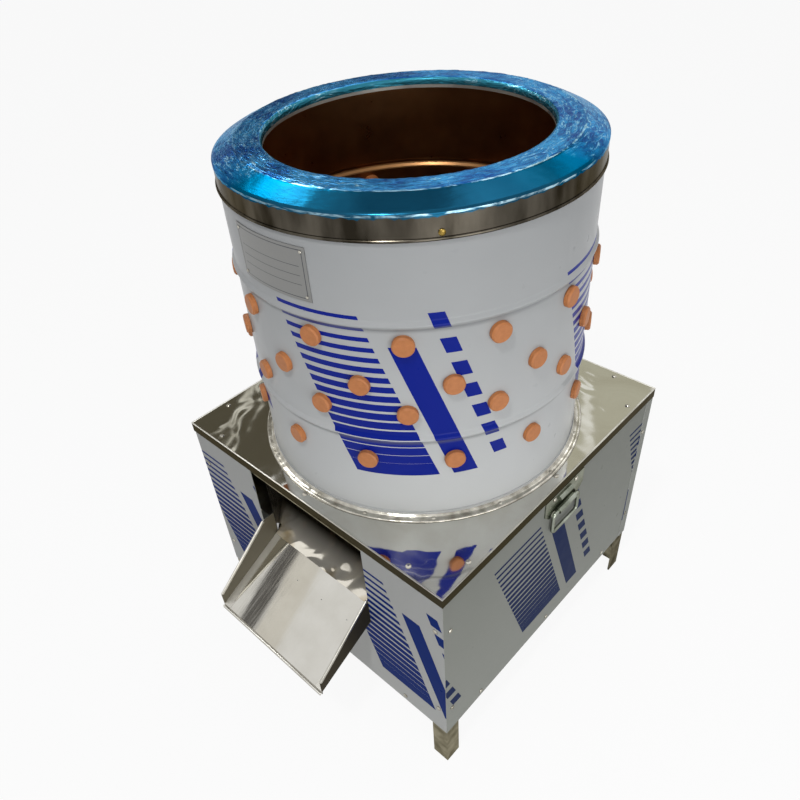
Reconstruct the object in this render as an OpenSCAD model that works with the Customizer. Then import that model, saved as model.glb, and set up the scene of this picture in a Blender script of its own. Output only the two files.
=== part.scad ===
// Drum poultry plucker: a finger-lined barrel on a square cabinet, with a belt-driven turntable.
// Drawn round the barrel's axis, then set with the middle of the whole machine at the origin.
// The discharge chute faces -Y and the floor is z = 0. All lengths are in millimetres.

/* [Cabinet] */
// How far the square deck reaches past the barrel on each side
deck_margin = 30; // [28:0.5:45]
// Height of the deck's top face above the floor
deck_height = 463; // [450:1:520]
// Depth of the deck's turned-down skirt
deck_skirt = 18; // [14:1:24]
// Thickness of the deck sheet
deck_sheet = 1.5; // [1:0.1:2]
// Thickness of the panel sheet
panel_sheet = 1; // [0.6:0.1:1.5]
// Height of the panels' lower edge above the floor
panel_bottom = 100; // [80:1:120]
// Width of the flanges that wrap the rear panel round the sides
rear_flange = 20; // [16:1:28]
// Distance of the deck screws from the deck's edge
screw_inset = 13; // [11:0.5:18]
// Distance of the outer deck screws from the middle of a side
screw_pitch = 210; // [180:5:225]
// Distance of the outer bottom rivets from the middle of a panel
rivet_pitch = 190; // [160:5:215]
// Distance of the corner rivets from the corner
corner_rivet_in = 14.5; // [12:0.5:18]
// Height of the lower corner rivets above the panels' lower edge
low_rivet = 64; // [45:1:90]
// Distance of the upper corner rivets below the deck's top face
high_rivet = 88; // [70:1:110]
// Height of the bottom rivets above the panels' lower edge
bottom_rivet = 13; // [10:0.5:18]

/* [Frame] */
// Flange width of the leg angles
leg_w = 30; // [26:1:36]
// Thickness of the leg angles
leg_t = 3; // [2:0.5:4]
// Flange width of the rail angles
rail_w = 30; // [26:1:34]
// Thickness of the rail angles
rail_t = 3; // [2:0.5:4]
// Distance of the carrier rails' underside below the deck's top face
carrier_drop = 253; // [243:1:258]

/* [Barrel] */
// Outer diameter of the barrel
barrel_d = 500; // [480:2:510]
// Thickness of the barrel sheet
barrel_sheet = 1.5; // [1:0.1:2]
// How far the barrel reaches below the deck's top face
barrel_drop = 23; // [18:1:26]
// Height of the upper rolled bead above the deck
upper_bead = 323; // [300:1:330]
// Distance of the lower rolled bead below the third row of fingers
lower_bead_drop = 44; // [28:1:60]
// How far a bead stands out
bead_out = 4; // [1.5:0.5:4.5]
// Half the height of a bead
bead_half = 7; // [4:0.5:8]
// Gap between the foot ring's flange and the deck screws' heads
foot_room = 0.7; // [0.4:0.1:3]
// Height of the foot ring's collar
foot_collar = 9; // [6:0.5:12]
// Number of rivets in the foot ring
foot_rivets = 16; // [8:1:24]

/* [Rim] */
// Height of the rim's top face above the deck
rim_top = 471; // [462:1:500]
// Height of the rim cover's outer edge above the deck
rim_edge = 457.5; // [450:0.5:460]
// Diameter of the mouth
mouth_d = 374; // [360:2:390]
// Outer diameter of the rim cover's flat top
rim_flat_d = 444; // [430:2:460]
// Depth of the lip turned down into the mouth
rim_lip = 14; // [10:1:20]
// Radius of the mouth's rounded edge
mouth_round = 4; // [3:0.5:6]
// Depth of the steel band below the rim cover
band_depth = 31; // [24:1:36]
// Radius of the bead rolled along the band's lower edge
band_bead = 2; // [1:0.25:2.5]
// Thickness of the rim cover and band sheet
rim_sheet = 1.2; // [1:0.1:1.5]
// Number of screws in the band
rim_screw_count = 3; // [2:1:4]

/* [Plucking fingers] */
// Fingers in each row round the barrel
fingers_per_row = 13; // [8:1:13]
// Angle between neighbouring fingers in a row
finger_pitch = 26.8; // [24:0.2:27]
// Direction of the middle finger of the first row
finger_middle = -51; // [-60:1:-40]
// Distance of the first row of fingers below the upper bead
row_1_drop = 26; // [25:1:40]
// Distance of the second row below the first
row_2_drop = 62; // [40:1:70]
// Distance of the third row below the second
row_3_drop = 43; // [36:1:60]
// Distance of the fourth row below the lower bead
row_4_drop = 38; // [25:1:46]
// Diameter of a finger's head
head_d = 28; // [27:1:32]
// Thickness of a finger's head
head_h = 7.5; // [6:0.5:10]
// Diameter of the groove that grips the sheet
neck_d = 21; // [18:0.5:22]
// Diameter of the collar behind the sheet
collar_d = 27; // [25:0.5:28]
// Diameter of a finger at its root
finger_d = 21; // [18:0.5:22]
// Diameter of a finger at its tip
tip_d = 14; // [10:0.5:16]
// Length of a finger past its collar
finger_length = 74; // [60:1:80]
// Number of ribs along a finger
finger_ribs = 7; // [4:1:9]

/* [Turntable] */
// Gap between the turntable and the barrel
turntable_gap = 10; // [6:1:16]
// How far the turntable's top lies below the deck's top face
turntable_drop = 11; // [8:1:14]
// Thickness of the turntable plate
turntable_t = 3; // [2:0.5:5]
// Diameter of the turntable's hub
hub_d = 80; // [64:1:96]
// Height of the hub below the plate
hub_h = 42; // [34:1:46]
// Fingers in the turntable's inner ring
inner_fingers = 6; // [4:1:7]
// Radius of the turntable's inner ring of fingers
inner_ring_r = 90; // [80:1:100]
// Fingers in the turntable's outer ring
outer_fingers = 12; // [8:1:14]
// Distance from the wall fingers' tips to the middle of the outer ring's fingers
outer_ring_inset = 20; // [16:1:30]

/* [Drive] */
// Diameter of the main shaft
shaft_d = 25; // [22:0.5:27]
// Diameter of the shoulder under the hub
shoulder_d = 34; // [32:1:40]
// Outer diameter of the bearings
bearing_d = 52; // [48:1:56]
// Width of the bearings
bearing_w = 15; // [12:1:18]
// Outer diameter of the bearing housing
housing_d = 72; // [66:1:76]
// How far the housing reaches above the carrier rails
housing_up = 112; // [90:1:115]
// How far the housing reaches below the carrier rails' top
housing_down = 24; // [20:1:28]
// Side of the housing's square flange
housing_flange = 100; // [96:1:104]
// Width of the bearing beam
beam_w = 120; // [114:1:130]
// Height of the bearing beam
beam_h = 40; // [30:1:46]
// Thickness of the bearing beam and the motor plate
beam_t = 6; // [4:0.5:8]
// Outer diameter of the driven pulley
driven_d = 260; // [220:2:270]
// Outer diameter of the motor pulley
motor_pulley_d = 60; // [52:1:70]
// Width of both pulleys' rims
pulley_w = 26; // [24:1:32]
// Top width of the belt
belt_w = 13; // [11:0.5:14]
// Height of the belt's section
belt_h = 8; // [7:0.5:9]
// Gap between the motor's plate and the rear legs
motor_back = 4.5; // [1:0.5:8]
// Diameter of the motor frame without its fins
motor_d = 112; // [100:1:114]
// Height of the motor's cooling fins
fin_h = 6; // [3:0.5:7]
// Number of cooling fins
fin_count = 24; // [16:2:32]
// Length of the motor frame
motor_length = 90; // [80:1:94]
// Diameter of the motor shaft
motor_shaft_d = 19; // [16:0.5:22]
// Diameter of the motor's mounting flange
flange_d = 156; // [150:1:158]
// Height of the fan cover
fan_cover_h = 42; // [36:1:44]

/* [Discharge] */
// Inner width of the chute
chute_w = 250; // [220:2:270]
// How far the chute reaches past the front panel
chute_reach = 116; // [90:1:140]
// How far the chute is tucked in behind the panel's face
chute_tuck = 21; // [18:1:24]
// Slope of the chute's floor in degrees
chute_slope = 27; // [22:1:30]
// Distance of the chute's floor below the deck's top face where it passes the panel
chute_drop = 197; // [183:1:207]
// Height of the chute's walls where they pass the panel
chute_wall = 58; // [40:1:70]
// Height of the chute's walls at the tip
chute_tip_wall = 26; // [15:1:40]
// Thickness of the chute and pan sheet
chute_sheet = 1.2; // [1:0.1:1.5]
// Gap between the pan's rear edge and the barrel's lower edge
pan_clear = 7.5; // [4:0.5:20]
// Diameter of the pan's collar round the shaft
pan_collar_d = 70; // [60:1:80]
// Height of the cable gland above the floor
gland_height = 300; // [270:1:330]
// Distance of the cable gland from the middle of the rear panel
gland_x = 150; // [110:1:200]
// Diameter of the cable that the gland takes
gland_bore = 10; // [8:0.5:11]

/* [Handles] */
// Distance of the handles behind the middle of the sides
handle_y = 9; // [0:1:20]
// Width of a handle's plate
handle_w = 104; // [96:1:116]
// Height of a handle's plate
handle_h = 42; // [36:1:48]
// Thickness of a handle's plate
handle_t = 2; // [1.5:0.25:3]
// Outer width of the bail
bail_w = 74; // [70:1:82]
// Distance from the bail's pivot to the middle of its grip
bail_drop = 40; // [36:1:46]
// Diameter of the bail's wire
wire_d = 6; // [5:0.5:7]
// Radius of the bail's corners, to the middle of the wire
bail_round = 7; // [6:0.5:9]
// Width of the rolled knuckle that holds the bail
knuckle_w = 44; // [30:1:46]
// Length of the rib pressed into a handle's plate
handle_rib_l = 34; // [24:1:40]

/* [Name plate] */
// Width of the name plate round the barrel
plate_w = 123; // [100:1:140]
// Height of the name plate
plate_h = 70; // [55:1:74]
// Height of the plate's lower edge above the deck
plate_z = 343; // [340:1:346]
// Direction that the middle of the plate faces
plate_middle = -89.8; // [-100:0.2:-80]
// Thickness of the plate
plate_t = 0.8; // [0.5:0.1:1.2]

/* [Fits] */
// Free gap between parts that don't touch
gap = 0.3; // [0.2:0.05:0.4]
// Radial clearance of a turning or seated fit
fit = 0.05; // [0.02:0.01:0.1]
// Diameter of a rivet's or screw's shank
shank_d = 4; // [3:0.5:4.5]
// Diameter of a rivet's or screw's head
rivet_d = 8; // [7:0.5:9]
// Height of a rivet's or screw's head
rivet_h = 2.2; // [1.5:0.1:3]
// Diameter of a structural bolt
bolt_d = 10; // [8:0.5:11]

/* [Hidden] */
$fn = 48;
eps = 0.01;
hex_ratio = 2 / sqrt(3);

// Bolt proportions, as shares of the bolt's diameter
hex_across = 1.7;
hex_head = 0.65;
hex_nut = 0.7;
bolt_end = 0.2;

// Faces of the cabinet, as distances from the barrel's axis
barrel_r = barrel_d / 2;
half = barrel_r + deck_margin;
panel_face = half - deck_sheet;
panel_in = panel_face - panel_sheet;
leg_in = panel_in - leg_t;
rail_clear = 2;
top_rail_flat = leg_in - barrel_r - rail_clear;
deck_under = deck_height - deck_sheet;
skirt_bottom = deck_height - deck_skirt;
carrier_height = deck_height - carrier_drop;
carrier_top = carrier_height + rail_t;

// Fasteners of the cabinet
corner_x = panel_face - corner_rivet_in;
corner_rivet_z = [panel_bottom + low_rivet, deck_height - high_rivet];
bottom_rivet_z = panel_bottom + bottom_rivet;
bottom_rivet_x = [-rivet_pitch, 0, rivet_pitch];
screw_x = [-screw_pitch, 0, screw_pitch];
screw_line = half - screw_inset;
drill_l = 40;
tail = 1.5;

// Barrel and rim
barrel_in = barrel_r - barrel_sheet;
barrel_bottom = deck_height - barrel_drop;
band_in = barrel_r + gap;
band_out = band_in + rim_sheet;
rim_r = band_out;
rim_z = deck_height + rim_edge;
rim_top_z = deck_height + rim_top;
mouth_r = mouth_d / 2;
rim_flat_r = rim_flat_d / 2;
rim_angle = atan2(rim_top - rim_edge, rim_r - rim_flat_r);
rim_fold = 2.5;
barrel_top = rim_z - rim_sheet - gap;
band_top = rim_z - rim_fold - gap;
band_bottom = rim_z - band_depth;
screw_room = 1;
band_screw_z = band_bottom + 2 * band_bead + rivet_d / 2 + screw_room;
rim_screw_middle = -40;
foot_in = barrel_r + gap;
foot_flange = screw_line - rivet_d / 2 - foot_room - foot_in;
foot_rivet_r = foot_in + foot_flange / 2;
bead_steps = 8;

// Plucking fingers
collar_sag = barrel_in - sqrt(pow(barrel_in, 2) - pow(collar_d / 2, 2));
finger_wall = barrel_sheet + collar_sag;
collar_h = 4;
rib_h = 0.9;
row_1 = upper_bead - row_1_drop;
row_2 = row_1 - row_2_drop;
row_3 = row_2 - row_3_drop;
lower_bead = row_3 - lower_bead_drop;
row_4 = lower_bead - row_4_drop;
finger_rows = [row_1, row_2, row_3, row_4];
finger_tip_r = barrel_r - finger_wall - gap - collar_h - finger_length;
outer_ring_r = finger_tip_r - outer_ring_inset;
head_round = 2;

// Turntable and shaft
turntable_top = deck_height - turntable_drop;
turntable_r = barrel_in - turntable_gap;
hub_bottom = turntable_top - turntable_t - hub_h;
housing_top = carrier_top + housing_up;
housing_bottom = carrier_top - housing_down;
shaft_bore_r = shaft_d / 2 + fit;
race_r = (shaft_d + bearing_d) / 4 - 2;
bearing_step = 3;
beam_top = carrier_top + beam_t;
housing_flange_t = 10;
housing_bolt_at = (housing_flange - bolt_d * 2.4) / 2;
beam_web_r = housing_d / 2 + gap;
carrier_bolt_x = leg_in - rail_w * 0.55;
plate_bolt_y = 50;
cap_bolt_d = 10;
cap_bolt_l = 24;
tap_room = 2;
washer_t = 4;

// Belt drive
groove_angle = 18;
belt_drop = 0.5;
groove_depth = belt_h + 4;
groove_clear = 0.65;
pulley_room = 10;
pulley_top = housing_bottom - pulley_room;
belt_z = pulley_top - pulley_w / 2;
plate_edge = 2;
plate_wide = flange_d / 2 + plate_edge;
motor_y = leg_in - plate_wide - motor_back;
driven_r = driven_d / 2;
motor_pulley_r = motor_pulley_d / 2;
belt_lean = acos((driven_r - motor_pulley_r) / motor_y);
belt_steps = 48;
hub_wall = 13;
driven_hub_d = shaft_d + 2 * hub_wall;
pulley_bottom = pulley_top - pulley_w;

// Motor
bell_t = 10;
bell_h = 16;
bell_bottom = carrier_top + beam_t;
frame_bottom = bell_bottom + bell_h;
frame_top = frame_bottom + motor_length;
motor_r = motor_d / 2;
fin_r = motor_r + fin_h;
cover_t = 1.5;
fan_room = 8;
fan_bottom = frame_top + fan_room;
fan_h = 18;
motor_shaft_r = motor_shaft_d / 2;
motor_bolt_r = (flange_d / 2 + fin_r) / 2 + 1;
box_low = frame_bottom + 18;
motor_bolt_d = 6;
box_l = 52;
box_h = 50;
box_w = 36;
plate_slot = motor_shaft_d + 30;

// Discharge
chute_in_y = -(panel_face - chute_tuck);
chute_tip_y = -(panel_face + chute_reach);
chute_half = chute_w / 2;
chute_floor = deck_height - chute_drop;
chute_rise = tan(chute_slope);
chute_flange = 20;
chute_lip = 5;
chute_rivet_x = chute_half * 0.72;
opening_half = chute_half + chute_sheet + gap;
opening_bottom = chute_floor - chute_sheet / cos(chute_slope) - gap;
skirt_room = 1;
opening_top = skirt_bottom - skirt_room;
pan_z = chute_floor + chute_tuck * chute_rise + 2 * gap;
pan_lap = 6;
pan_front_y = chute_in_y - pan_lap;
pan_room = 9;
pan_rear_y = leg_in - rail_t - pan_room;
pan_rise = barrel_bottom - pan_clear - chute_sheet - pan_z;
pan_slope = atan2(pan_rise, pan_rear_y - chute_in_y);
leg_room = 2;
pan_side_y = panel_in - leg_w - leg_room;
pan_flange = 20;
collar_room = 12;
guide_room = 8;
guide_top = deck_under - rail_t - guide_room;
guide_in = 15;
guide_end = [barrel_r - guide_in, -barrel_r / 2];
gland_stem_d = 1.6 * gland_bore;
gland_nut_d = 2.3 * gland_bore;
gland_cap_l = 14;
gland_nut_l = 8;
gland_reach = gland_cap_l + gland_nut_l;

// Handles
wire_room = 1;
pivot_out = panel_face + handle_t + wire_d / 2 + wire_room;
handle_top = skirt_bottom - skirt_room;
pivot_z = handle_top - handle_h * 0.84;
knuckle_t = 2;
knuckle_r = wire_d / 2 + fit + knuckle_t;
handle_rivet_x = handle_w * 0.28;
handle_rivet_z = handle_top - handle_h * 0.17;
handle_rib_r = 5;
handle_rib_z = handle_top - handle_h * 0.34;

// Name plate
plate_in = barrel_r + gap;
plate_angle = plate_w / barrel_r * 180 / PI;
plate_rivet_in = 6;
plate_rivet_angle = plate_angle / 2 - plate_rivet_in / barrel_r * 180 / PI;

// The whole machine's middle lies at the origin
front_reach = panel_face + chute_reach;
rear_reach = panel_face + gland_reach;
shift_y = (front_reach - rear_reach) / 2;

steel = [0.66, 0.65, 0.61];
film = [0.74, 0.75, 0.77];
rim_blue = [0.1, 0.38, 0.6];
rubber_orange = [0.87, 0.58, 0.37];
angle_iron = [0.5, 0.48, 0.42];
zinc = [0.62, 0.66, 0.64];
castings = [0.32, 0.34, 0.36];
motor_grey = [0.36, 0.42, 0.45];
belt_black = [0.1, 0.1, 0.1];
brass = [0.72, 0.6, 0.3];

module placed() {
  translate([0, shift_y, 0]) children();
}

// A block from one corner to the opposite one
module block(low, high) {
  translate(low) cube(high - low);
}

// Moves from the front side to side k: 0 front, 1 right, 2 rear, 3 left
module on_side(k) {
  rotate([0, 0, 90 * k]) children();
}

// Points a child's +Z out of side k, at x along the side and height z, lifted off the panel's face
module out_of_side(k, x, z, lift = 0) {
  on_side(k) translate([x, -(panel_face + lift), z]) rotate([90, 0, 0]) children();
}

// Points a child's +Z away from the barrel's axis
module out_of_barrel(angle, r, z) {
  rotate([0, 0, angle]) translate([r, 0, z]) rotate([0, 90, 0]) children();
}

// A domed head on z = 0 with its shank below
module dome_rivet(d, h, stem_d, stem_l) {
  rotate_extrude()
    polygon([
      [0, -stem_l], [stem_d / 2, -stem_l], [stem_d / 2, 0], [d / 2, 0],
      [d / 2, h * 0.35], [d * 0.37, h * 0.78], [d * 0.2, h], [0, h]
    ]);
}

// A hexagon-headed bolt from the top face at z = 0, with a nut past the grip
module hex_bolt(d, grip) {
  stem = grip + (hex_nut + bolt_end) * d;
  cylinder(d = hex_across * d * hex_ratio, h = hex_head * d, $fn = 6);
  translate([0, 0, -stem]) cylinder(d = d, h = stem + eps);
  translate([0, 0, -grip - hex_nut * d]) cylinder(d = hex_across * d * hex_ratio, h = hex_nut * d, $fn = 6);
}

module angle_leg(sx, sy) {
  outer = panel_in;
  edge = panel_in - leg_w;
  color(angle_iron)
    difference() {
      linear_extrude(deck_under)
        polygon([
          [sx * outer, sy * outer], [sx * edge, sy * outer], [sx * edge, sy * leg_in],
          [sx * leg_in, sy * leg_in], [sx * leg_in, sy * edge], [sx * outer, sy * edge]
        ]);
      for (k = [0:3]) corner_rivet_places(k) rivet_drill();
    }
}

// An angle rail along a side, with its flat flange above or below
module side_rail(k, reach, bottom, flat_w, flat_on_top) {
  flat = flat_on_top ? bottom + rail_w - rail_t : bottom;
  on_side(k) {
    block([-reach, -leg_in, bottom], [reach, -leg_in + rail_t, bottom + rail_w]);
    block([-reach, -leg_in, flat], [reach, -leg_in + flat_w, flat + rail_t]);
  }
}

module upper_rails() {
  color(angle_iron)
    difference() {
      for (k = [0:3])
        side_rail(k, k % 2 == 0 ? leg_in : leg_in - top_rail_flat,
                  deck_under - rail_w, top_rail_flat, true);
      deck_screw_places() rivet_drill();
      foot_rivet_places() rivet_drill();
    }
}

module lower_rails() {
  color(angle_iron)
    difference() {
      for (k = [0:3])
        side_rail(k, k % 2 == 0 ? leg_in : leg_in - rail_w, panel_bottom, rail_w, false);
      for (k = [0:3]) bottom_rivet_places(k) rivet_drill();
    }
}

module carrier_rails() {
  color(angle_iron)
    difference() {
      for (k = [1, 3]) side_rail(k, leg_in, carrier_height, rail_w, false);
      for (k = [0:3]) corner_rivet_places(k) rivet_drill();
      carrier_bolt_places() bolt_drill();
    }
}

// Drills run through everything at their place
module rivet_drill() {
  cylinder(d = shank_d + 2 * fit, h = drill_l, center = true);
}

module bolt_drill() {
  cylinder(d = bolt_d + 2 * fit, h = 2 * drill_l, center = true);
}

// The rear panel's flange lifts the rivets that go through it
function corner_lift(k, s) = (k == 1 && s > 0) || (k == 3 && s < 0) ? panel_sheet : 0;

module corner_rivet_places(k) {
  for (s = [-1, 1], z = corner_rivet_z)
    out_of_side(k, s * corner_x, z, corner_lift(k, s)) children();
}

module bottom_rivet_places(k) {
  for (x = bottom_rivet_x) out_of_side(k, x, bottom_rivet_z) children();
}

module panel_rivets() {
  stem = panel_sheet + leg_t + tail;
  color(zinc)
    for (k = [0:3]) {
      for (s = [-1, 1], z = corner_rivet_z)
        out_of_side(k, s * corner_x, z, corner_lift(k, s))
          dome_rivet(rivet_d, rivet_h, shank_d, stem + corner_lift(k, s));
      bottom_rivet_places(k) dome_rivet(rivet_d, rivet_h, shank_d, stem + rail_t);
    }
}

// A flat panel on side k, cut for its rivets and for the children
module panel(k, reach) {
  difference() {
    on_side(k)
      block([-reach, -panel_face, panel_bottom], [reach, -panel_in, deck_under]);
    corner_rivet_places(k) rivet_drill();
    bottom_rivet_places(k) rivet_drill();
    children();
  }
}

module front_panel() {
  color(film)
    panel(0, panel_face) {
      block([-opening_half, -half, opening_bottom], [opening_half, 0, opening_top]);
      chute_rivet_places() rivet_drill();
    }
}

module right_panel() {
  color(film) panel(1, panel_in) handle_rivet_places(1) rivet_drill();
}

module left_panel() {
  color(film) panel(3, panel_in) handle_rivet_places(3) rivet_drill();
}

module rear_panel() {
  wrap = panel_face + panel_sheet;
  wrap_top = skirt_bottom - gap;
  color(film)
    difference() {
      union() {
        on_side(2)
          block([-panel_face, -panel_face, panel_bottom], [panel_face, -panel_in, deck_under]);
        for (s = [-1, 1]) {
          low_x = min(s * panel_face, s * wrap);
          block([low_x, panel_face - rear_flange, panel_bottom],
                [low_x + panel_sheet, panel_face, wrap_top]);
        }
      }
      for (k = [1:3]) corner_rivet_places(k) rivet_drill();
      bottom_rivet_places(2) rivet_drill();
      gland_place() cylinder(d = gland_stem_d + 2 * fit, h = drill_l, center = true);
    }
}

module deck_screw_places() {
  for (k = [0:3], x = screw_x)
    on_side(k) translate([x, -screw_line, deck_height]) children();
}

module foot_rivet_places() {
  for (i = [0:foot_rivets - 1])
    rotate([0, 0, 360 * i / foot_rivets]) translate([foot_rivet_r, 0, deck_height + rim_sheet]) children();
}

module deck() {
  color(steel)
    difference() {
      block([-half, -half, skirt_bottom], [half, half, deck_height]);
      block([-panel_face, -panel_face, skirt_bottom - 1], [panel_face, panel_face, deck_under]);
      translate([0, 0, skirt_bottom]) cylinder(r = barrel_r + gap, h = deck_skirt + 1, $fn = 96);
      deck_screw_places() rivet_drill();
      foot_rivet_places() rivet_drill();
    }
}

module deck_screws() {
  color(zinc)
    deck_screw_places() dome_rivet(rivet_d, rivet_h, shank_d, deck_sheet + rail_t + tail);
}

// The pan's sloping underside, as a frame for what lies in its plane
module in_pan() {
  translate([0, chute_in_y, pan_z]) rotate([pan_slope, 0, 0]) children();
}

function along_pan(y) = (y - chute_in_y) / cos(pan_slope);

module feather_pan() {
  narrow = panel_in - leg_w - leg_room / 2;
  side = along_pan(pan_side_y);
  front = along_pan(pan_front_y);
  rear = along_pan(pan_rear_y);
  side_front = along_pan(-pan_side_y);
  flange_rear = side - pan_flange * tan(pan_slope);
  drop = 3 * half;
  color(steel)
    difference() {
      union() {
        in_pan() linear_extrude(chute_sheet)
          polygon([
            [-narrow, side_front], [-opening_half, side_front], [-opening_half + 4, front],
            [opening_half - 4, front], [opening_half, side_front], [narrow, side_front],
            [panel_in, side_front], [panel_in, side], [narrow, side], [narrow, rear],
            [-narrow, rear], [-narrow, side], [-panel_in, side], [-panel_in, side_front]
          ]);
        in_pan() for (s = [-1, 1]) {
          low_x = min(s * panel_in, s * (panel_in - chute_sheet));
          block([low_x, side_front, -pan_flange], [low_x + chute_sheet, flange_rear, chute_sheet]);
        }
        difference() {
          union() {
            for (s = [-1, 1]) translate([0, 0, chute_floor])
              linear_extrude(guide_top - chute_floor)
                polygon([
                  [s * chute_half, chute_in_y + 1], [s * (chute_half + chute_sheet), chute_in_y + 1],
                  [s * (guide_end[0] + chute_sheet), guide_end[1]], [s * guide_end[0], guide_end[1]]
                ]);
            translate([0, 0, chute_floor])
              cylinder(d = pan_collar_d, h = hub_bottom - chute_floor - collar_room);
          }
          in_pan() block([-drop, -drop, -drop], [drop, drop, chute_sheet / 2]);
        }
      }
      cylinder(d = pan_collar_d - 2 * chute_sheet, h = deck_height);
    }
}

function chute_z(y) = chute_floor + (y + panel_face) * chute_rise;

module chute_rivet_places() {
  z = chute_z(-panel_in) - chute_flange * 0.6;
  for (x = [-1, -1 / 3, 1 / 3, 1]) out_of_side(0, x * chute_rivet_x, z) children();
}

// Extrudes an outline in the YZ plane from x = low to x = high
module across(low, high) {
  translate([low, 0, 0]) rotate([90, 0, 90]) linear_extrude(high - low) children();
}

module discharge_chute() {
  thick = chute_sheet / cos(chute_slope);
  outer = chute_half + chute_sheet;
  tip_z = chute_z(chute_tip_y);
  in_z = chute_z(chute_in_y);
  flange_z = chute_z(-panel_in);
  color(steel)
    difference() {
      union() {
        across(-outer, outer)
          polygon([
            [chute_in_y, in_z], [chute_tip_y, tip_z], [chute_tip_y, tip_z - thick - chute_lip],
            [chute_tip_y + chute_sheet, tip_z - thick - chute_lip],
            [chute_tip_y + chute_sheet, tip_z - thick + chute_sheet * chute_rise],
            [chute_in_y, in_z - thick]
          ]);
        for (s = [-1, 1]) {
          low_x = min(s * chute_half, s * outer);
          across(low_x, low_x + chute_sheet)
            polygon([
              [chute_in_y, in_z - thick], [chute_tip_y, tip_z - thick],
              [chute_tip_y, tip_z + chute_tip_wall], [-panel_face, chute_floor + chute_wall],
              [chute_in_y, chute_floor + chute_wall]
            ]);
        }
        block([-chute_half, -panel_in, flange_z - chute_flange],
              [chute_half, -panel_in + chute_sheet, flange_z - thick / 2]);
      }
      chute_rivet_places() rivet_drill();
    }
}

module chute_rivets() {
  color(zinc)
    chute_rivet_places() dome_rivet(rivet_d, rivet_h, shank_d, panel_sheet + chute_sheet + tail);
}

// A smooth swelling of the sheet, walked up or down its height
function bead_points(r, z, way) = [
  for (i = [0:bead_steps])
    let (t = way * (2 * i / bead_steps - 1))
      [r + bead_out * (1 + cos(180 * t)) / 2, z + bead_half * t]
];

module barrel() {
  upper = deck_height + upper_bead;
  lower = deck_height + lower_bead;
  color(film)
    difference() {
      rotate_extrude($fn = 128)
        polygon(concat(
          [[barrel_r, barrel_bottom]],
          bead_points(barrel_r, lower, 1),
          bead_points(barrel_r, upper, 1),
          [[barrel_r, barrel_top], [barrel_in, barrel_top]],
          bead_points(barrel_in, upper, -1),
          bead_points(barrel_in, lower, -1),
          [[barrel_in, barrel_bottom]]
        ));
      for (row = [0:3]) finger_places(row)
        finger_hole();
      rim_screw_places() rivet_drill();
      plate_rivet_places() plate_rivet_drill();
    }
}

module foot_ring() {
  color(steel)
    difference() {
      rotate_extrude($fn = 128)
        polygon([
          [foot_in, deck_height], [foot_in + foot_flange, deck_height],
          [foot_in + foot_flange, deck_height + rim_sheet], [foot_in + rim_sheet, deck_height + rim_sheet],
          [foot_in + rim_sheet, deck_height + foot_collar], [foot_in, deck_height + foot_collar]
        ]);
      foot_rivet_places() rivet_drill();
    }
}

module foot_ring_rivets() {
  color(zinc)
    foot_rivet_places() dome_rivet(rivet_d * 0.8, rivet_h, shank_d, rim_sheet + deck_sheet + rail_t + tail);
}

module rim_screw_places() {
  for (i = [0:rim_screw_count - 1])
    out_of_barrel(rim_screw_middle + 360 * i / rim_screw_count, band_out + gap, band_screw_z) children();
}

module rim_band() {
  color(steel)
    difference() {
      rotate_extrude($fn = 128)
        polygon(concat(
          [[band_in, band_bottom]],
          [for (a = [-90:30:90]) [band_out + band_bead * cos(a), band_bottom + band_bead * (1 + sin(a))]],
          [[band_out, band_top], [band_in, band_top]]
        ));
      rim_screw_places() rivet_drill();
    }
}

module rim_screws() {
  color(brass)
    rim_screw_places() dome_rivet(rivet_d, rivet_h, shank_d, barrel_sheet + rim_sheet + 3 * gap + tail);
}

module rim_cover() {
  bend = rim_sheet * tan(rim_angle / 2);
  hook = rim_sheet * tan(45 - rim_angle / 2);
  lip_z = rim_top_z - rim_lip;
  centre = [mouth_r + mouth_round, rim_top_z - mouth_round];
  inner_round = mouth_round - rim_sheet;
  color(rim_blue)
    rotate_extrude($fn = 128)
      polygon(concat(
        [[mouth_r, lip_z]],
        [for (a = [180:-15:90]) centre + mouth_round * [cos(a), sin(a)]],
        [[rim_flat_r, rim_top_z], [rim_r, rim_z], [rim_r, rim_z - rim_fold]],
        [[rim_r - rim_sheet, rim_z - rim_fold], [rim_r - rim_sheet, rim_z - hook]],
        [[rim_flat_r - bend, rim_top_z - rim_sheet]],
        [for (a = [90:15:180]) centre + inner_round * [cos(a), sin(a)]],
        [[mouth_r + rim_sheet, lip_z]]
      ));
}

// A rubber finger: head below z = 0, groove through the wall, ribbed finger above
module plucking_finger(wall) {
  seat = wall + gap;
  root = seat + collar_h;
  end = root + finger_length;
  pitch = (finger_length - tip_d / 2) / finger_ribs;
  ribs = [
    for (i = [0:finger_ribs - 1], t = [[0.1, 0], [0.35, 1], [0.65, 1], [0.9, 0]])
      let (s = (i + t[0]) / finger_ribs)
        [finger_d / 2 + (tip_d - finger_d) / 2 * s + rib_h * t[1], root + (i + t[0]) * pitch]
  ];
  rotate_extrude($fn = 32)
    polygon(concat(
      [[0, -gap - head_h], [head_d / 2 - head_round, -gap - head_h]],
      [[head_d / 2, -gap - head_h + head_round], [head_d / 2, -gap], [neck_d / 2, -gap]],
      [[neck_d / 2, seat], [collar_d / 2, seat], [collar_d / 2, root - 1], [finger_d / 2, root]],
      ribs,
      [for (a = [0:30:60]) [tip_d / 2 * cos(a), end - tip_d / 2 * (1 - sin(a))]],
      [[0, end]]
    ));
}

// Odd rows stand half a pitch round from even ones
module finger_places(row) {
  for (i = [0:fingers_per_row - 1])
    rotate([0, 0, finger_middle + (i - (fingers_per_row - 1) / 2 - (row % 2) / 2) * finger_pitch])
      translate([barrel_r, 0, deck_height + finger_rows[row]])
        rotate([0, -90, 0]) children();
}

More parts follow.
